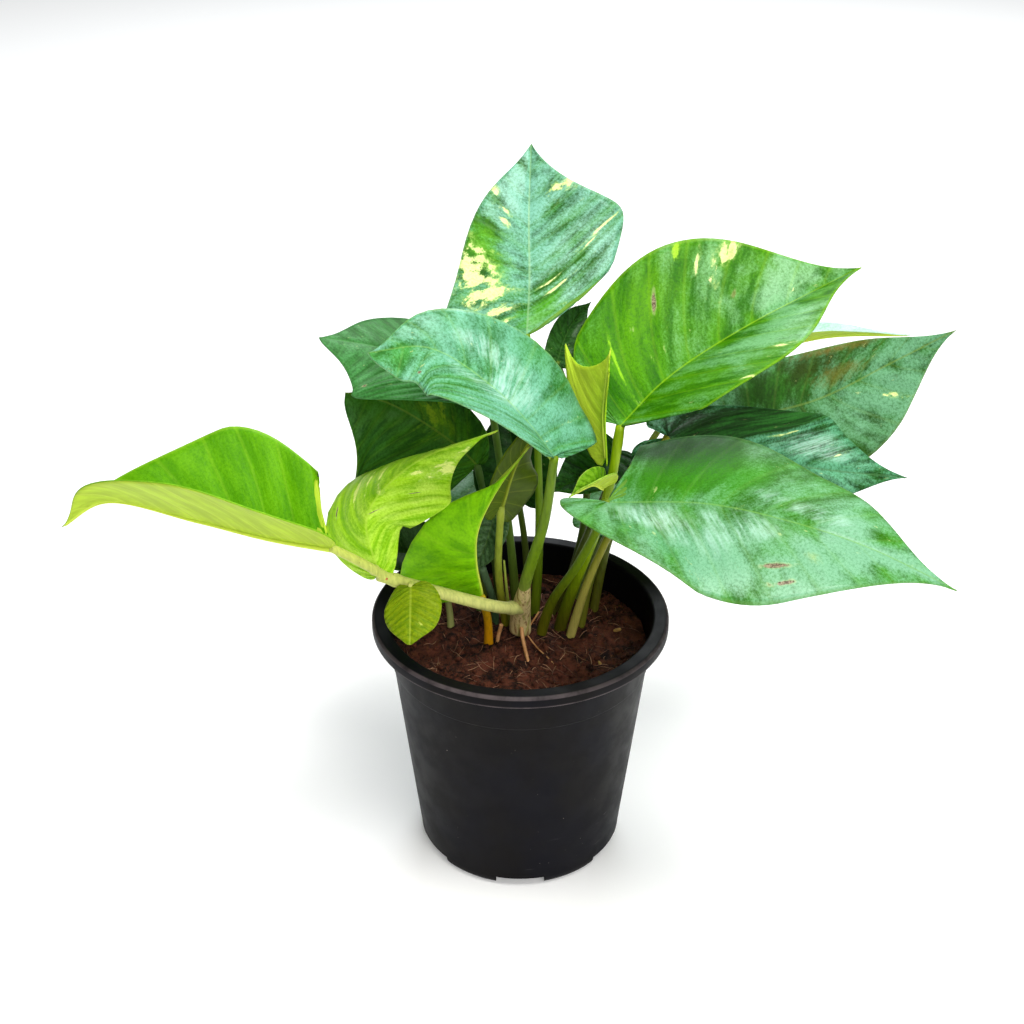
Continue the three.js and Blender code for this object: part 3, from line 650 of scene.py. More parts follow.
# ---------------------------------------------------------------------------
# Vine
# The main stem forks just above the soil: one arm rises to the front leaf, the
# other creeps to the left over the rim. It is pale green and jointed.
# Each limb is its path, its radius at both ends and where its joints swell.
VINE_LIMBS = [
    ([[0, 6, 78], [0, 0, 98], [2, -12, 121], [8, -22, 151], [11, -28, 179]], 2.6, 1.5, ()),
    ([[0, -5, 104], [-10, -17, 113], [-30, -23, 123], [-49, -30, 134]], 2.4, 2.2, (0.1, 0.9)),
    ([[-45, -28, 131], [-55, -34, 142], [-64, -38, 150]], 1.8, 1.5, (0.3,)),
    ([[-36, -25, 126], [-38, -29, 130], [-38, -32, 131]], 1.2, 0.9, ()),
]
LIMB_POINTS = 60
LIMB_SIDES = 20
limbs = []
for points, foot, top, joints_at in VINE_LIMBS:
    share = np.linspace(0, 1, LIMB_POINTS)
    radii = foot + (top - foot) * share
    for joint in joints_at:
        radii = radii * (1 + 0.2 * np.exp(-((share - joint) / 0.025) ** 2))
    limbs.append((points, radii))
vine = rod_piece("vine_stem", limbs, LIMB_SIDES, 0.95)
front_arm_faces = (LIMB_POINTS + 1) * LIMB_SIDES
for polygon in vine.data.polygons:
    polygon.material_index = 0 if polygon.index < front_arm_faces else 1
finished(vine, ["stem"], "stalk", stalk_skin("front_stem_skin", "8f9a4a", "5f7c08", 96, 135),
         stalk_skin("vine_skin", "c8c878", "b4bf56", 104, 150))


def papery_skin():
    """Dry leaf sheath: straw-coloured paper with long brown and green streaks."""
    skin = Skin("papery_sheath")
    long_place = skin.stretched(skin.place(), (700, 700, 45))
    streaks = skin.noise(long_place, 1, 5, 0.65)
    skin.colour = skin.blend(skin.ramp(streaks, 0.45, 0.66), "cdb982", "9c9850")
    skin.lay("7a5230", skin.ramp(skin.noise(long_place, 1.7, 3, 0.6), 0.52, 0.64), 0.8)
    return skin.dressed(0.65, 0.2, skin.bump(streaks, 0.6, 0.3 * MM))


sheath_points = [[0, 0, 91], [0, -1.5, 98], [1.4, -10.0, 116], [2.4, -13.0, 124]]
sheath_radii = 0.8 + 3.3 * (1 - np.linspace(0, 1, 40) ** 1.6) ** 0.8
finished(rod_piece("stem_sheath", [(sheath_points, sheath_radii)], 20, 0.8), [], "stalk", papery_skin())

scar_points = [[-46.3, -30.0, 132.7], [-46.4, -31.3, 133.5]]
finished(rod_piece("bud_scar", [(scar_points, np.linspace(0.9, 0.45, 8))], 12), [], "stalk",
         plain_mottled("scar_brown", "8f4a1c", "c9803f", 900, 0.6))

ROOTS = [
    ([[0, 0, 97], [1, -8, 92], [3, -14, 86]], 0.8, 0.6),
    ([[7, 5, 96], [5, 4, 93], [1, 2, 86.5]], 0.35, 0.25),
    ([[2, 0, 90], [6, -8, 89], [11, -16, 88.6], [15, -21, 86.5]], 0.3, 0.2),
    ([[-7, -2, 95], [-8, -2, 91], [-9, -3, 85]], 0.8, 0.7),
]
ROOT_POINTS = 30
root_rods = [(points, np.linspace(foot, top, ROOT_POINTS)) for points, foot, top in ROOTS]
finished(rod_piece("air_roots", root_rods, 8), [], "stalk",
         plain_mottled("root_tan", "a4703f", "d09a66", 200, 0.6))

SHOOTS = {
    "bud": ([[-3, 8, 84], [-5, 3, 106], [-6, 1, 121]], 0.9, 0.35, "8a9a34", "b9c85a"),
    "cut_stalk": ([[-9, 12, 78], [-10, 9, 97], [-14, 4, 116]], 1.4, 1.4, "3f5a3a", "5f7a5a"),
}
SHOOT_POINTS = 30
for shoot_name, (points, foot, top, low, high) in SHOOTS.items():
    shoot = rod_piece("shoot_" + shoot_name, [(points, np.linspace(foot, top, SHOOT_POINTS))], 14)
    finished(shoot, [shoot_name], "stalk", stalk_skin("shoot_skin_" + shoot_name, low, high))


# ---------------------------------------------------------------------------
# Leaf blades
# Thin, waxy heart-shaped blades, folded along the midrib, with side veins that
# sweep forward to the margin, and cream or lime streaks between the veins.
# The shape of each is given as in life: the path of its midrib, where its face
# looks, the width, fold and curl of each half in mm and degrees.
LOBE_SHARE = 0.3
CUP_SHARE = 0.45
FLARE_LENGTH = 0.08
VEIN_SWEEP = 1.2
RIB_PACE = 1.25
MARGIN_WAVES = 2.5
PHASE_STEP = 0.37
ROW_STEP = 1.9
COLUMN_STEP = 2.4
COLUMN_PACE = 1.15
TIP_SHARE = 0.96  # from here the rows lie closer, for a sharp tip
TIP_ROWS = 6
GROOVE_DEPTH = 0.3
GROOVE_WIDTH = 0.9
TISSUE = 0.5
OUTLINE = np.array([
    [[0, 0], [0.08, -0.14], [0.5, -0.2], [0.8, -0.02]],
    [[0.8, -0.02], [1.07, 0.15], [1.03, 0.42], [0.68, 0.64]],
    [[0.68, 0.64], [0.42, 0.8], [0.1, 0.86], [0, 1]],
])
BLADES = {
    "far_left": dict(
        rib=[[-64, -38, 150], [-85, -33, 151], [-110, -28, 155], [-142, -22, 159], [-160, -17, 146]],
        up=[0, 0, 1], wide=[34, 38], fold=[54, 52], curl=[-10, -20], lean=[0.25, 0.22], lobe=[0.3, -0.9],
        slim=[1.1, 2.2]),
    "top": dict(
        rib=[[2, 18, 203], [3, 34, 215], [3, 58, 232], [4, 80, 252]], up=[0.3, -0.7, 0.5],
        upTip=[-0.1, -0.75, 0.65], wide=[28, 35], fold=[12, 12], curl=[-10, -10], lean=[-0.3, 0.5],
        lobe=[0.6, -0.8], slim=[0.85, 0.9], flare=[[0.3, 0.42], [0, 0]], rows=14),
    "upper_right": dict(
        rib=[[34.5, -1, 177], [50.5, 9, 190], [77, 22, 203], [121, 39, 220]], up=[-0.25, -0.3, 0.9],
        wide=[43, 41], fold=[32, 25], lean=[0.2, 0.25], lobe=[0.3, -0.3], slim=[1, 0.95],
        flare=[[-0.08, 0.34], [0, 0]], rows=13),
    "lower_right": dict(
        rib=[[29, -30, 163], [62, -40, 168], [91, -50, 166], [112, -58, 162], [140, -66, 151]], up=[0, 0, 1],
        wide=[46, 40.5], fold=[12, -4], curl=[-20, -25], cup=[0, 60], lean=[0.03, 0.2], lobe=[-0.5, 1],
        slim=[1.25, 1], flare=[[-0.15, 0.62], [0, 0]], wave=1.3, rows=13),
    "front_left": dict(
        rib=[[11, -28, 179], [3, -28, 191], [-10, -27, 205], [-30, -26, 218], [-49, -32, 219]],
        up=[0.5, -0.1, 0.85], upTip=[0.25, -0.5, 0.8], wide=[22, 30], fold=[10, 18], lean=[0.7, -0.25],
        lobe=[0.3, 0.45], slim=[0.42, 1], flare=[[0.35, 0.92], [0, 0]], wave=0, rows=14),
    "back_left": dict(
        rib=[[-11, 18, 180], [-29, 20, 189], [-49, 18, 198], [-70, 14, 204]], up=[0.3, -0.1, 0.95],
        wide=[29, 32], fold=[-6, 0], lean=[0.8, 0.1], lobe=[0.3, 1], slim=[0.5, 1]),
    "dark_left": dict(
        rib=[[-16, 28, 146], [-24, 31, 153], [-48, 33, 169], [-64, 32, 174]], up=[-0.3, -0.75, 0.55],
        wide=[36, 15], fold=[0, 10], lean=[0.6, 0.2], lobe=[1, 0.3], slim=[0.45, 1]),
    "vine_end": dict(
        rib=[[-49, -30, 134], [-53, -22, 153], [-38, -9, 166], [-8, 8, 171]], up=[-0.3, -0.8, 0.5],
        upTip=[-0.3, 0.1, 0.9], wide=[32, 20], fold=[-28, -38], curl=[-10, -5], lean=[0.35, 0.5],
        lobe=[0.25, 0.3], slim=[1, 1.5], flare=[[0.8, 0.94], [0.6, 0.9]], rows=14),
    "low_front": dict(
        rib=[[-14, -14, 115], [-16, -19, 133], [-15, -21, 147], [-8, -19, 162], [3, -16, 177]],
        up=[-0.1, -0.95, 0.2], wide=[34, 9], fold=[-6, -110], curl=[-12, 0], lean=[-0.4, 0.1], lobe=[0.3, 0.3],
        slim=[4, 1.2]),
    "olive": dict(
        rib=[[-7, -8, 149], [-1, -2, 165], [14, 12, 181]], up=[-0.3, 0.7, 0.6], wide=[20, 9], fold=[10, 10],
        rows=10),
    "dark_middle": dict(
        rib=[[36, 24, 154], [25, 17, 148], [10, 11, 144]], up=[-0.4, -0.5, 0.8], wide=[15, 14], lobe=[0.4, 0.4],
        rows=10),
    "curled": dict(
        rib=[[29.2, -5.5, 155], [25, -12, 160], [16.5, -19, 159]], up=[0, -0.3, 1], wide=[7, 7], fold=[60, 60],
        lobe=[0.3, 0.3], rows=8),
    "narrow": dict(
        rib=[[29.9, -3, 166], [28.6, -1.5, 182], [30.5, 1, 205.5]], up=[0.5, 1, 0], wide=[4, 21], fold=[-60, 5],
        curl=[0, 25], lean=[0.8, 0.92], slim=[1, 1.3], rows=10),
    "far_right": dict(
        rib=[[77, 50, 153], [112, 54, 160], [140, 54, 176], [161, 50, 191]], up=[-0.2, -0.5, 0.85],
        wide=[20, 32], fold=[22, -20]),
    "middle_right": dict(
        rib=[[53, 18, 163], [73, 20, 159], [103, 22, 149], [144, 24, 143]], up=[0, -0.3, 1], wide=[20, 20],
        fold=[50, -45], lean=[0.5, 0]),
    "far_back": dict(
        rib=[[67, 72, 156], [87, 72, 169], [116, 75, 177], [151, 75, 178]], up=[0, -0.2, 1], wide=[10, 8],
        fold=[10, 60], lobe=[0.4, 0.4]),
    "drooping": dict(
        rib=[[-38, -32, 131], [-38, -40, 124], [-38, -46, 116]], up=[-0.2, -0.9, 0.5], wide=[11, 10],
        fold=[-10, -10], lean=[0.2, 0.35], slim=[0.6, 0.5], rows=10),
    "dark_low": dict(
        rib=[[-32, 11, 117], [-48, 7, 121], [-67, 3, 123]], up=[0, -0.2, 0.9], wide=[16, 16], rows=10),
    "small_grey": dict(
        rib=[[-9, 10, 136], [-13, 6, 124], [-18, 4, 113]], up=[-0.4, -0.8, 0.3], wide=[8, 8], lobe=[0.5, 0.5],
        rows=8),
    "centre_back": dict(
        rib=[[13, 28, 188], [16, 34, 195], [20, 40, 200], [26, 46, 204]], up=[0.3, -0.75, 0.55], wide=[7, 7],
        lobe=[0.4, 0.4], rows=10),
    "shaded": dict(rib=[[-1, 38, 128], [-3, 39, 148], [-6, 37, 170]], up=[0, -1, 0.3], wide=[17, 17], rows=10),
    "rear_left": dict(
        rib=[[-20, 36, 120], [-38, 50, 126], [-58, 64, 120], [-72, 74, 106]], up=[0, 0.2, 1], wide=[22, 22],
        fold=[10, 10]),
    "rear_right": dict(
        rib=[[34, 44, 112], [52, 58, 116], [76, 72, 110], [94, 80, 96]], up=[0, 0.2, 1], wide=[20, 18],
        fold=[10, 10]),
}
PLAIN_BLADE = dict(fold=[20, 20], curl=[-5, -5], cup=[0, 0], lean=[0, 0], lobe=[1, 1], slim=[1, 1],
                   flare=[[0, 0], [0, 0]], wave=0.8, rows=12, veins=13, quilt=0.45)


def margin_points(share):
    """Half of the heart's outline from notch to tip, as shares of half width and length."""
    piece = np.minimum(2, (share * 3).astype(int))
    t = (share * 3 - piece)[:, None]
    a, b, c, d = (OUTLINE[piece][:, k] for k in range(4))
    return a * (1 - t) ** 3 + 3 * b * t * (1 - t) ** 2 + 3 * c * t ** 2 * (1 - t) + d * t ** 3


def along_rib(values, share):
    """Values given at even steps of the midrib, read at other shares of it."""
    knots = np.linspace(0, 1, len(values))
    return np.stack([np.interp(share, knots, values[:, k]) for k in range(3)], -1)


def face_normal(blade, share, tangent):
    """Where the blade's face looks, square to the midrib, at shares of the midrib."""
    ups = (blade["up"], blade.get("upTip", blade["up"]))
    first_up, last_up = (np.array(v, float) / np.linalg.norm(v) for v in ups)
    normal = first_up + (last_up - first_up) * share[..., None]
    return unit(normal - tangent * np.sum(normal * tangent, -1, keepdims=True))


def blade_half(blade, side, share, reach):
    """Points of one half and their places in mm across and along it; share runs round the margin."""
    margin = margin_points(share)
    x, y = margin[:, 0].copy(), margin[:, 1].copy()
    y = np.where(y < 0, y * blade["lobe"][side], y)
    x = np.maximum(x, 0) ** blade["slim"][side]
    bulge, bulge_share = blade["flare"][side]
    x = x * (1 + bulge * np.exp(-(((share - bulge_share) / FLARE_LENGTH) ** 2)))
    y = y + blade["lean"][side] * x ** 2 * (1 - y)
    start = np.maximum(0, (share - LOBE_SHARE) / (1 - LOBE_SHARE)) ** RIB_PACE
    along = start[:, None] + (y - start)[:, None] * reach[None, :] ** VEIN_SWEEP
    on_rib = np.clip(along, 0, 1)
    path, length = blade["path"]
    centre = along_rib(path, on_rib)
    tangent = unit(along_rib(unit(np.gradient(path, axis=0)), on_rib))
    centre = centre + tangent * ((along - on_rib) * length)[..., None]
    normal = face_normal(blade, on_rib, tangent)
    right = np.cross(tangent, normal)
    across = x[:, None] * blade["wide"][side] * reach[None, :]
    lift = blade["cup"][side] * np.maximum(0, 1 - share / CUP_SHARE)
    first = np.radians(blade["fold"][side] + lift)[:, None]
    turn = math.radians(blade["curl"][side]) / blade["wide"][side]
    last = first + turn * across
    if abs(turn) > 1e-6:
        out, rise = (np.sin(last) - np.sin(first)) / turn, (np.cos(first) - np.cos(last)) / turn
    else:
        out, rise = across * np.cos(first), across * np.sin(first)
    waves = np.sin(2 * np.pi * (MARGIN_WAVES * share + blade["phase"] + side * 0.3))
    ripple = blade["wave"] * waves[:, None] * reach[None, :] ** 2 * x[:, None]
    between_veins = np.abs(np.sin(np.pi * (blade["veins"] * share[:, None] ** 0.9))) ** 0.7
    away_from_edges = np.minimum(1, 3 * reach)[None, :] * (1 - reach[None, :] ** 3)
    quilt = blade["quilt"] * between_veins * away_from_edges * np.minimum(1, 2.5 * x)[:, None]
    groove = GROOVE_DEPTH * np.exp(-((across / GROOVE_WIDTH) ** 2))
    height = rise + ripple + quilt - groove
    sign = -1 if side == 0 else 1
    points = centre + right * (sign * out)[..., None] + normal * height[..., None]
    return points, across, along * length


def blade_piece(name, order):
    """The blade, with two maps: `veins` holds reach and margin share, `flat` holds centimetres."""
    blade = {**PLAIN_BLADE, **BLADES[name], "phase": order * PHASE_STEP}
    blade["path"] = smooth_path(blade["rib"])
    row_count = max(24, int(blade["path"][1] / ROW_STEP))
    column_count = max(10, int(max(blade["wide"]) / COLUMN_STEP))
    share = np.linspace(1 / blade["rows"], TIP_SHARE, row_count - TIP_ROWS)
    share = np.concatenate([share, np.linspace(TIP_SHARE, 1, TIP_ROWS + 1)[1:]])
    reach = np.linspace(0, 1, column_count + 1) ** COLUMN_PACE
    places, maps, flats, faces = [], [], [], []
    for side, sign in ((0, -1), (1, 1)):
        points, across, along = blade_half(blade, side, share, reach)
        g = len(places) + np.arange(len(share) * len(reach)).reshape(len(share), len(reach))
        for i, j in np.ndindex(g.shape):
            places.append(points[i, j])
            maps.append((0.5 + 0.5 * sign * reach[j], share[i]))
            flats.append((0.5 + 0.1 * sign * across[i, j], 0.1 * along[i, j]))
        for i, j in np.ndindex(len(share) - 1, len(reach) - 1):
            quad = [int(g[i, j]), int(g[i, j + 1]), int(g[i + 1, j + 1]), int(g[i + 1, j])]
            faces.append(tuple(quad[::sign]))
    piece = mesh_piece("blade_" + name, places, faces)
    corner_vertices = [loop.vertex_index for loop in piece.data.loops]
    for map_name, values in (("veins", maps), ("flat", flats)):
        layer = piece.data.uv_layers.new(name=map_name)
        layer.data.foreach_set("uv", [c for v in corner_vertices for c in values[v]])
    select_only(piece)
    bpy.ops.object.mode_set(mode="EDIT")
    bpy.ops.mesh.select_all(action="SELECT")
    bpy.ops.mesh.remove_doubles(threshold=0.002 * MM)
    bpy.ops.mesh.dissolve_degenerate(threshold=0.001 * MM)
    bpy.ops.object.mode_set(mode="OBJECT")
    return piece, blade


def underside_rib(piece, blade, name, under):
    """A tapering ridge under the midrib, joined to the blade."""
    path, length = blade["path"]
    share = np.linspace(0, 0.985, max(16, int(length / 2)))
    centre = along_rib(path, share)
    normal = face_normal(blade, share, unit(np.gradient(centre, axis=0)))
    radii = min(0.8, 0.3 + length / 160) * (1 - 0.75 * share)
    places, faces = rod_surface(centre - normal * (0.4 + 0.8 * radii)[:, None], radii, 10)
    ridge = mesh_piece("ridge_" + name, places, faces)
    ridge.data.materials.append(under)
    for map_name in ("veins", "flat"):
        layer = ridge.data.uv_layers.new(name=map_name)
        layer.data.foreach_set("uv", [0.5] * (2 * len(ridge.data.loops)))
    select_only(piece)
    ridge.select_set(True)
    bpy.ops.object.join()


PATTERN_OUTPUTS = ("Streaks", "Fine Streaks", "Blotches", "Cloud", "Mottle", "Side Veins", "Pillows", "Rib",
                   "Margin", "Height")


def leaf_pattern_group():
    """What all leaf skins share: streaks along the veins, blotches, fine mottling, vein lines and relief."""
    group = bpy.data.node_groups.new("leaf_pattern", "ShaderNodeTree")
    for socket_name, value in (("Seed", 0.0), ("Veins", 13.0)):
        socket = group.interface.new_socket(socket_name, in_out="INPUT", socket_type="NodeSocketFloat")
        socket.default_value = value
    for socket_name in PATTERN_OUTPUTS:
        group.interface.new_socket(socket_name, in_out="OUTPUT", socket_type="NodeSocketFloat")
    paint = Paint(group)
    given, results = paint.nodes.new("NodeGroupInput"), paint.nodes.new("NodeGroupOutput")
    vein_map, flat_map = (paint.node("UVMap", uv_map=map_name) for map_name in ("veins", "flat"))
    reach, share = paint.axis(vein_map, "X"), paint.axis(vein_map, "Y")
    across, along = paint.axis(flat_map, "X"), paint.axis(flat_map, "Y")

    def place(x, y):
        return paint.node("CombineXYZ", {0: x, 1: y, 2: given.outputs["Seed"]})

    def along_veins(across_scale, share_scale, detail, roughness):
        at = place(paint.times(reach, across_scale), paint.times(share, share_scale))
        return paint.noise(at, 1.0, detail, roughness)

    def away_from_middle(value):
        return paint.math("ABSOLUTE", paint.minus(value, 0.5))

    flat_place = place(across, along)
    mottle = paint.noise(flat_place, 10.0, 5, 0.75)
    order = paint.times(paint.math("POWER", share, 0.9), given.outputs["Veins"])
    nearest = away_from_middle(paint.math("FRACT", paint.plus(order, 0.5)))
    pillows = paint.ramp(nearest, 0.0, 0.42)
    height = paint.plus(paint.times(along_veins(14.0, 95.0, 4, 0.6), 0.7), paint.times(mottle, 0.35),
                        paint.times(pillows, 0.9))
    for socket_name, value in zip(PATTERN_OUTPUTS, (
        along_veins(4.0, 30.0, 6, 0.66), along_veins(7.0, 110.0, 4, 0.6), along_veins(9.0, 34.0, 6, 0.7),
        paint.noise(flat_place, 0.6, 3, 0.55), mottle, paint.ramp(nearest, 0.015, 0.07, 1.0, 0.0), pillows,
        paint.ramp(away_from_middle(across), 0.02, 0.06, 1.0, 0.0),
        paint.ramp(away_from_middle(reach), 0.482, 0.496), height,
    )):
        paint.feed(results.inputs[socket_name], value)
    return group


leaf_pattern = leaf_pattern_group()


def pattern_in(skin, seed, veins=13):
    """The outputs of the shared leaf pattern, drawn with a seed and a number of side veins."""
    node = skin.nodes.new("ShaderNodeGroup")
    node.node_tree = leaf_pattern
    node.inputs["Seed"].default_value = seed
    node.inputs["Veins"].default_value = veins
    return node.outputs


def patch_mask(skin, torn_by, spot, ragged, edge, grow=1.0):
    """One listed patch (u, share and its size in both): full at its centre, torn at its edge."""
    u, share, u_size, share_size = spot
    u_size, share_size = u_size * grow, share_size * grow
    at = skin.stretched(skin.node("UVMap", uv_map="veins"), (1 / u_size, 1 / share_size, 0),
                        (-u / u_size, -share / share_size, 0))
    near = skin.minus(1.0, skin.length(at))
    torn = skin.times(skin.minus(torn_by, 0.5), ragged * 2)
    return skin.ramp(skin.plus(near, torn), 0.0, edge)


def leaf_skin(name, deep, bright, mint, seed, veins, bloom_and_reflection=0.5, rib="9fc86a", cream="e6f0a0", flecks=0.3,
              patches=(), scars=(), mint_areas=(), tints=(), sheen=(), gloss=0.25, mottle=0.5,
              rib_strength=0.5, soft=0.15):
    """Waxy upper skin: two greens in streaks, a mint tone over them that is partly the leaves' bloom and partly
    painted sky reflection, cream patches and painted sheen.
    """
    skin = Skin(name)
    times, plus = skin.times, skin.plus
    pattern = pattern_in(skin, seed, veins)
    streaks, blotches, cloud, fine = (pattern[k] for k in ("Streaks", "Blotches", "Cloud", "Mottle"))
    skin.colour = skin.blend(skin.ramp(streaks, 0.36, 0.62), deep, bright)
    # The mint tone is partly the leaves' own bluish bloom and partly painted sky reflection on the wax.
    level = plus(times(cloud, 0.35), times(streaks, 0.35), times(fine, 0.3), times(pattern["Pillows"], 0.06))
    for *spot, amount in mint_areas:
        level = plus(level, times(patch_mask(skin, cloud, spot, 0.8, 0.9), amount))
    edge = 0.53 + 0.3 * (0.5 - bloom_and_reflection)
    bloom_and_reflection_mask = skin.ramp(level, edge - soft, edge + soft)
    skin.lay(mint, bloom_and_reflection_mask, 0.9)
    for *spot, tone, amount in tints:
        skin.lay(tone, patch_mask(skin, blotches, spot, 1.2, 1.0), amount)
    skin.lay(cream, skin.ramp(blotches, 0.64, 0.7), flecks)
    for patch in patches:
        spot, tone = patch[:4], patch[4] if len(patch) > 4 else cream
        halo = patch_mask(skin, blotches, spot, 2.8, 1.0, 1.8)
        skin.lay(skin.blend(0.45, "5fa60c", tone), halo, 0.5)
        skin.lay(tone, patch_mask(skin, blotches, spot, 2.8, 0.5), 0.88)
    darker = skin.blend(1.0, skin.colour, (0.36, 0.5, 0.34, 1), "MULTIPLY")
    skin.lay(darker, skin.ramp(fine, 0.38, 0.56, 1.0, 0.0), mottle)
    gloss_mask = times(bloom_and_reflection_mask, gloss)
    # Painted sheen: pale mint-white streaks laid into the colour where the wax catches the light, with real
    # coat gloss over the same areas.
    for spot in sheen:
        area = patch_mask(skin, cloud, spot, 0.8, 0.9)
        glint = plus(times(pattern["Fine Streaks"], 0.5), times(streaks, 0.5))
        skin.lay("bfe3d6", times(area, skin.ramp(glint, 0.42, 0.6)), 0.45)
        gloss_mask = skin.math("MAXIMUM", gloss_mask, times(area, 0.5))
    for output, amount in (("Side Veins", 0.12), ("Rib", rib_strength), ("Margin", 0.3)):
        skin.lay(rib, pattern[output], amount)
    height = pattern["Height"]
    for spot in scars:
        sunk = patch_mask(skin, blotches, spot, 1.4, 0.3)
        skin.lay("b4bc80", patch_mask(skin, blotches, spot, 1.4, 0.8, 1.7), 0.55)
        skin.lay(skin.blend(skin.ramp(fine, 0.42, 0.56), "4a3e2c", "8f8468"), sunk)
        height = skin.minus(height, times(sunk, 0.8))
    rough = skin.minus(skin.ramp(fine, 0.35, 0.65, 0.42, 0.56), times(gloss_mask, 0.3))
    return skin.dressed(rough, 0.08, skin.bump(height, 0.8, 0.4 * MM),
                        **{"Coat Weight": gloss_mask, "Coat Roughness": 0.22})


def underside_skin(name, tone, rib_tone, seed):
    """Duller, paler underside with a pale midrib and veins."""
    skin = Skin(name)
    pattern = pattern_in(skin, seed)
    deep = tuple(c * 0.72 for c in srgb(tone)[:3]) + (1,)
    skin.colour = skin.blend(skin.ramp(pattern["Streaks"], 0.35, 0.7), deep, tone)
    skin.lay(rib_tone, pattern["Side Veins"], 0.3)
    skin.lay(rib_tone, pattern["Rib"])
    return skin.dressed(0.55, 0.16, skin.bump(pattern["Height"], 0.35, 0.25 * MM))


green_under = underside_skin("green_underside", "5a8a24", "94b44a", 3)
lime_under = underside_skin("lime_underside", "aecc2e", "c4d84a", 5)
olive_under = underside_skin("olive_underside", "4a6000", "7f8c24", 7)
dark_under = underside_skin("dark_underside", "2c4a12", "566f1c", 9)
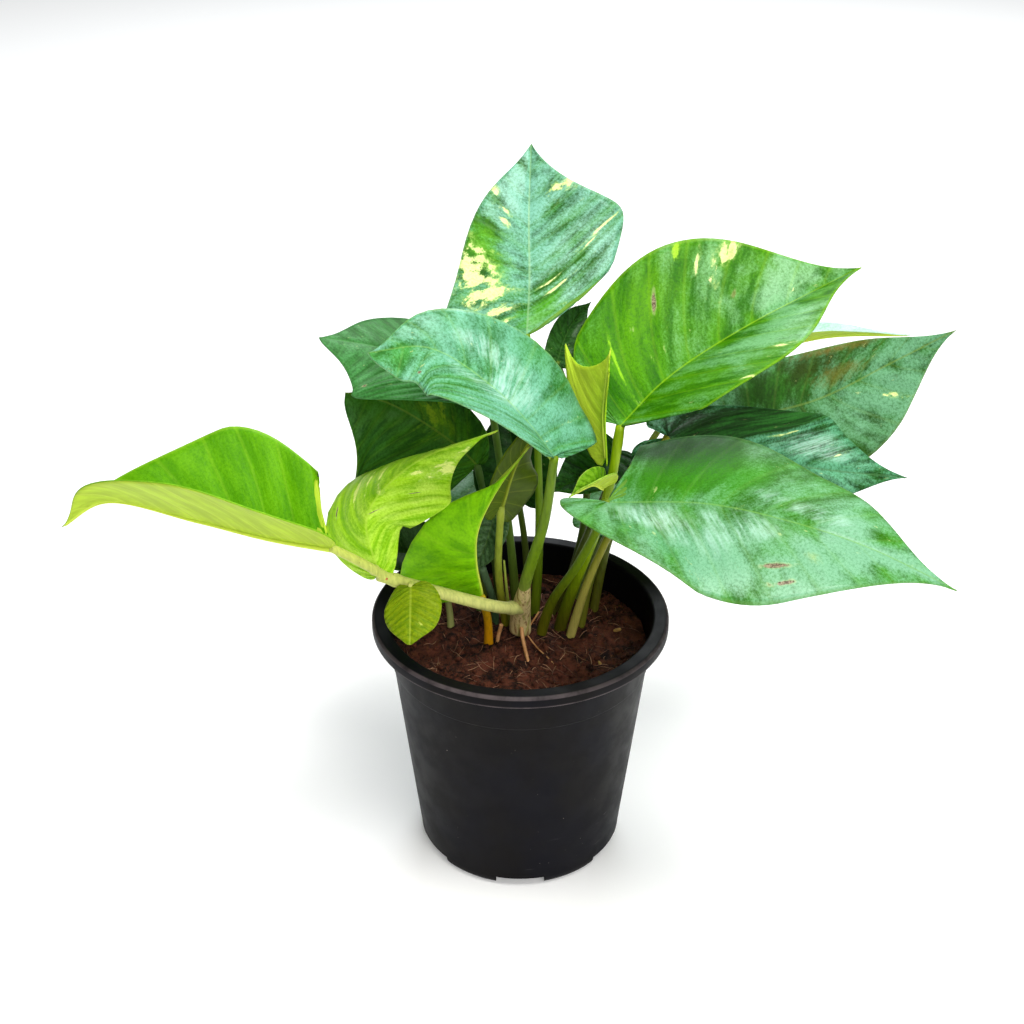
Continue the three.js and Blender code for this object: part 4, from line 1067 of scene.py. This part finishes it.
# Patches, tints, mint areas, sheen and scars are placed by reach (0 to 1 across
# the blade) and share of the margin, each followed by its size in both.
LOOKS = {
    "far_left": (lime_under, dict(
        deep="4a8a00", bright="5c9c00", mint="66a414", bloom_and_reflection=0.15, rib="9cc832", mottle=0.3, flecks=0.0,
        gloss=0.03)),
    "top": (green_under, dict(
        deep="1f5208", bright="38800a", mint="7fbba6", bloom_and_reflection=0.5, rib="7aa872", rib_strength=0.6, flecks=0.15,
        soft=0.13,
        patches=[(0.98, 0.79, 0.12, 0.018), (0.9, 0.8, 0.07, 0.01), (0.03, 0.765, 0.05, 0.01),
            (0.2, 0.735, 0.05, 0.008), (0.23, 0.705, 0.05, 0.007), (0.06, 0.575, 0.11, 0.034),
            (0.13, 0.54, 0.12, 0.03), (0.21, 0.505, 0.12, 0.022), (0.3, 0.455, 0.08, 0.014),
            (0.33, 0.41, 0.05, 0.008), (0.9, 0.535, 0.06, 0.006), (0.82, 0.52, 0.05, 0.005),
            (0.64, 0.457, 0.05, 0.005), (0.6, 0.5, 0.05, 0.004)],
        tints=[(0.12, 0.62, 0.2, 0.08, "5fa60c", 0.6), (0.28, 0.56, 0.14, 0.08, "5fa60c", 0.5),
            (0.55, 0.38, 0.2, 0.1, "4c9a0a", 0.75)],
        mint_areas=[(0.1, 0.6, 0.25, 0.12, -0.16), (0.6, 0.46, 0.15, 0.14, -0.12),
            (0.5, 0.8, 0.4, 0.16, 0.05)])),
    "upper_right": (green_under, dict(
        deep="2a6800", bright="4a8c00", mint="74b078", bloom_and_reflection=0.14, rib="8ab81c", flecks=0.2,
        patches=[(0.03, 0.665, 0.05, 0.007), (0.08, 0.652, 0.05, 0.008), (0.13, 0.645, 0.05, 0.009),
            (0.18, 0.638, 0.04, 0.006), (0.1, 0.606, 0.06, 0.005), (0.33, 0.84, 0.05, 0.007),
            (0.92, 0.586, 0.04, 0.007), (0.98, 0.44, 0.03, 0.007), (0.3, 0.403, 0.09, 0.0025, "8cc41c"),
            (0.03, 0.56, 0.04, 0.006, "9ccc2c")], scars=[(0.2, 0.513, 0.035, 0.004)],
        tints=[(0.15, 0.5, 0.22, 0.1, "5c9a00", 0.55), (0.3, 0.44, 0.2, 0.08, "57960a", 0.5),
            (0.27, 0.695, 0.03, 0.008, "8f7f50", 0.5)],
        mint_areas=[(0.2, 0.82, 0.5, 0.16, 0.16), (0.8, 0.64, 0.3, 0.2, 0.13),
            (0.3, 0.42, 0.35, 0.16, -0.15)])),
    "lower_right": (green_under, dict(
        deep="2c6604", bright="408c12", mint="7ab08c", bloom_and_reflection=0.4, soft=0.14, rib="6fa04c",
        scars=[(0.845, 0.617, 0.012, 0.026), (0.925, 0.615, 0.01, 0.02)],
        sheen=[(0.66, 0.42, 0.18, 0.18), (0.62, 0.62, 0.14, 0.12), (0.35, 0.7, 0.12, 0.12)],
        tints=[(0.1, 0.42, 0.2, 0.2, "1c5400", 0.85), (0.36, 0.4, 0.24, 0.14, "2f7400", 0.85),
            (0.28, 0.52, 0.24, 0.12, "348010", 0.7), (0.8, 0.7, 0.06, 0.02, "a9bc6a", 0.5),
            (0.8, 0.46, 0.2, 0.16, "5c9a74", 0.5)],
        mint_areas=[(0.85, 0.62, 0.35, 0.3, 0.1), (0.5, 0.88, 0.5, 0.18, 0.16),
            (0.25, 0.48, 0.3, 0.16, -0.2)])),
    "front_left": (green_under, dict(
        deep="2c6a24", bright="44903c", mint="74b59a", bloom_and_reflection=0.5, soft=0.14, rib="84b45a", rib_strength=0.35,
        gloss=0.35, sheen=[(0.42, 0.66, 0.2, 0.14), (0.62, 0.6, 0.2, 0.12), (0.75, 0.68, 0.14, 0.1)],
        scars=[(0.1, 0.8, 0.02, 0.012)],
        mint_areas=[(0.4, 0.95, 0.5, 0.14, -0.16), (0.6, 0.45, 0.4, 0.2, 0.06)])),
    "back_left": (green_under, dict(
        deep="265a20", bright="33702e", mint="458a48", bloom_and_reflection=0.3, rib="4f8a4a",
        scars=[(0.066, 0.606, 0.012, 0.014)], gloss=0.15)),
    "dark_left": (dark_under, dict(
        deep="22520a", bright="3c7004", mint="3f7a34", bloom_and_reflection=0.25, rib="6f8a2c", flecks=0.0,
        patches=[(0.7, 0.62, 0.12, 0.03, "7f9c1c"), (0.8, 0.56, 0.12, 0.02, "7f9c1c")],
        tints=[(0.7, 0.6, 0.25, 0.14, "6c8c10", 0.6)], gloss=0.1)),
    "vine_end": (lime_under, dict(
        deep="7ab800", bright="a4d818", mint="c4e45a", bloom_and_reflection=0.3, rib="b4d84a", cream="eaf68a",
        patches=[(0.69, 0.70, 0.06, 0.012), (0.93, 0.72, 0.10, 0.035), (0.97, 0.83, 0.07, 0.025),
            (0.19, 0.5, 0.16, 0.01), (0.31, 0.62, 0.12, 0.01), (0.25, 0.56, 0.12, 0.007)],
        scars=[(0.15, 0.396, 0.022, 0.006), (0.54, 0.547, 0.04, 0.0018), (0.77, 0.597, 0.04, 0.0018)],
        mottle=0.3, flecks=0.1, gloss=0.1)),
    "low_front": (lime_under, dict(
        deep="5a9c00", bright="7cc000", mint="82bc14", bloom_and_reflection=0.15, rib="9fc82c", flecks=0.0,
        tints=[(0.5, 0.05, 0.5, 0.14, "c4b80c", 0.7)], mottle=0.3, gloss=0.03)),
    "olive": (olive_under, dict(
        deep="324a00", bright="4a6400", mint="4a6410", bloom_and_reflection=0.15, rib="7a8a1c", flecks=0.0, gloss=0.0)),
    "dark_middle": (dark_under, dict(
        deep="123508", bright="255a0a", mint="2f5f30", bloom_and_reflection=0.25, rib="3f6a1c", flecks=0.1, gloss=0.1)),
    "curled": (lime_under, dict(
        deep="437a00", bright="5f9604", mint="84b02c", bloom_and_reflection=0.25, rib="b9d05a", mottle=0.25, flecks=0.0,
        gloss=0.1)),
    "narrow": (lime_under, dict(
        deep="74a800", bright="8cc000", mint="9fc80c", bloom_and_reflection=0.2, rib="b9d03c", mottle=0.15, flecks=0.0,
        gloss=0.0)),
    "far_right": (green_under, dict(
        deep="244c10", bright="367420", mint="70a880", bloom_and_reflection=0.38, soft=0.14, rib="6f8a3c",
        patches=[(0.86, 0.74, 0.05, 0.008), (0.8, 0.73, 0.04, 0.005)],
        tints=[(0.15, 0.58, 0.24, 0.14, "2a3c04", 0.95), (0.3, 0.68, 0.16, 0.1, "6a6420", 0.6),
            (0.3, 0.45, 0.3, 0.14, "1c3f08", 0.7), (0.03, 0.62, 0.06, 0.12, "7a6428", 0.6)],
        mint_areas=[(0.8, 0.75, 0.3, 0.2, 0.08), (0.2, 0.85, 0.4, 0.1, 0.08), (0.3, 0.5, 0.3, 0.14, -0.14)])),
    # middle_right: the near-black tint and the lowered mint over its base half are painted shade.
    "middle_right": (dark_under, dict(
        deep="12380c", bright="286420", mint="5fa580", bloom_and_reflection=0.42, soft=0.12, rib="3f6a3c",
        patches=[(0.195, 0.553, 0.05, 0.006), (0.195, 0.762, 0.05, 0.006)], gloss=0.35,
        tints=[(0.4, 0.3, 0.7, 0.2, "0f2606", 0.9)], sheen=[(0.2, 0.68, 0.2, 0.14)],
        mint_areas=[(0.3, 0.42, 0.6, 0.14, -0.3)])),
    "far_back": (lime_under, dict(
        deep="8ab8a0", bright="a4ccb8", mint="bcdcd0", bloom_and_reflection=0.6, rib="a4c8b4", mottle=0.3)),
    "drooping": (olive_under, dict(
        deep="5a7a00", bright="6e8400", mint="8aa010", bloom_and_reflection=0.25, rib="9cae34", mottle=0.3, flecks=0.0,
        patches=[(0.25, 0.74, 0.06, 0.014)], cream="b4bc4a", gloss=0.05)),
    "dark_low": (dark_under, dict(deep="1c3a10", bright="2f541c", mint="3f6034", bloom_and_reflection=0.35, rib="4f6a2c")),
    "small_grey": (dark_under, dict(deep="2f4a24", bright="3f6434", mint="5f7e58", bloom_and_reflection=0.4, rib="5f7a44")),
    "centre_back": (dark_under, dict(deep="1a4010", bright="2a5c14", mint="3a6434", bloom_and_reflection=0.3, rib="3f6a24")),
    "shaded": (dark_under, dict(deep="123508", bright="1f5208", mint="2a5424", bloom_and_reflection=0.25, rib="3f6a24")),
    "rear_left": (green_under, dict(
        deep="2a6412", bright="3f8412", mint="6aa478", bloom_and_reflection=0.35, rib="6f9c42",
        patches=[(0.7, 0.5, 0.08, 0.02), (0.3, 0.66, 0.06, 0.012)])),
    "rear_right": (green_under, dict(
        deep="2a6412", bright="3f8412", mint="6aa478", bloom_and_reflection=0.4, rib="6f9c42",
        patches=[(0.25, 0.6, 0.08, 0.02), (0.6, 0.7, 0.06, 0.012)])),
}
SLOTS = {**dict.fromkeys(("far_left", "vine_end", "curled", "narrow"), "leaf_lime"),
         **dict.fromkeys(("olive", "drooping"), "leaf_olive")}

for blade_order, blade_name in enumerate(BLADES):
    under, look = LOOKS[blade_name]
    piece, blade = blade_piece(blade_name, blade_order)
    seed = 1.7 * blade_order + 0.4
    piece.data.materials.append(leaf_skin("leaf_skin_" + blade_name, seed=seed, veins=blade["veins"], **look))
    piece.data.materials.append(under)
    apply_modifier(piece, "SOLIDIFY", thickness=TISSUE * MM, offset=0, material_offset=1, use_even_offset=False)
    underside_rib(piece, blade, blade_name, under)
    smooth_shaded(piece)
    finished(piece, ["leaf_" + blade_name], SLOTS.get(blade_name, "leaf_green"))


# ---------------------------------------------------------------------------
# Studio
# A pale plain floor, a large soft light above and behind that gives the leaves
# their sheen, and weaker fill from the front.
select_only()
bpy.ops.mesh.primitive_plane_add(size=12)
floor = bpy.context.object
floor.name = "studio_floor"
floor_skin = Skin("studio_white")
for input_name, value in {
    "Base Color": (0.86, 0.86, 0.86, 1), "Roughness": 0.9, "Specular IOR Level": 0.0,
    "Emission Color": (1, 1, 1, 1), "Emission Strength": 0.2,
}.items():
    floor_skin.feed(floor_skin.nodes["Principled BSDF"].inputs[input_name], value)
floor.data.materials.append(floor_skin.material)

LIGHT_SIZE = 0.7
for light_name, place, aim, power, colour in (
    ("sky_panel", (0.15, 1.15, 1.0), (0.0, 0.0, 0.15), 11, (0.9, 0.96, 1.0)),
    ("top_panel", (0.3, -0.25, 1.4), (0.0, 0.0, 0.1), 23, (1.0, 0.99, 0.96)),
    ("front_panel", (0.35, -1.1, 0.8), (0.0, 0.0, 0.1), 9, (1.0, 0.99, 0.97)),
):
    light_data = bpy.data.lights.new(light_name, "AREA")
    light_data.size = LIGHT_SIZE
    light_data.energy = power
    light_data.color = colour
    light = bpy.data.objects.new(light_name, light_data)
    bpy.context.scene.collection.objects.link(light)
    light.location = place
    light.rotation_euler = (Vector(aim) - Vector(place)).to_track_quat("-Z", "Y").to_euler()

world = bpy.data.worlds.new("soft_daylight")
world.use_nodes = True
world.node_tree.nodes["Background"].inputs["Color"].default_value = (1, 1, 1, 1)
world.node_tree.nodes["Background"].inputs["Strength"].default_value = 0.27
bpy.context.scene.world = world
bpy.context.scene.view_settings.view_transform = "Standard"
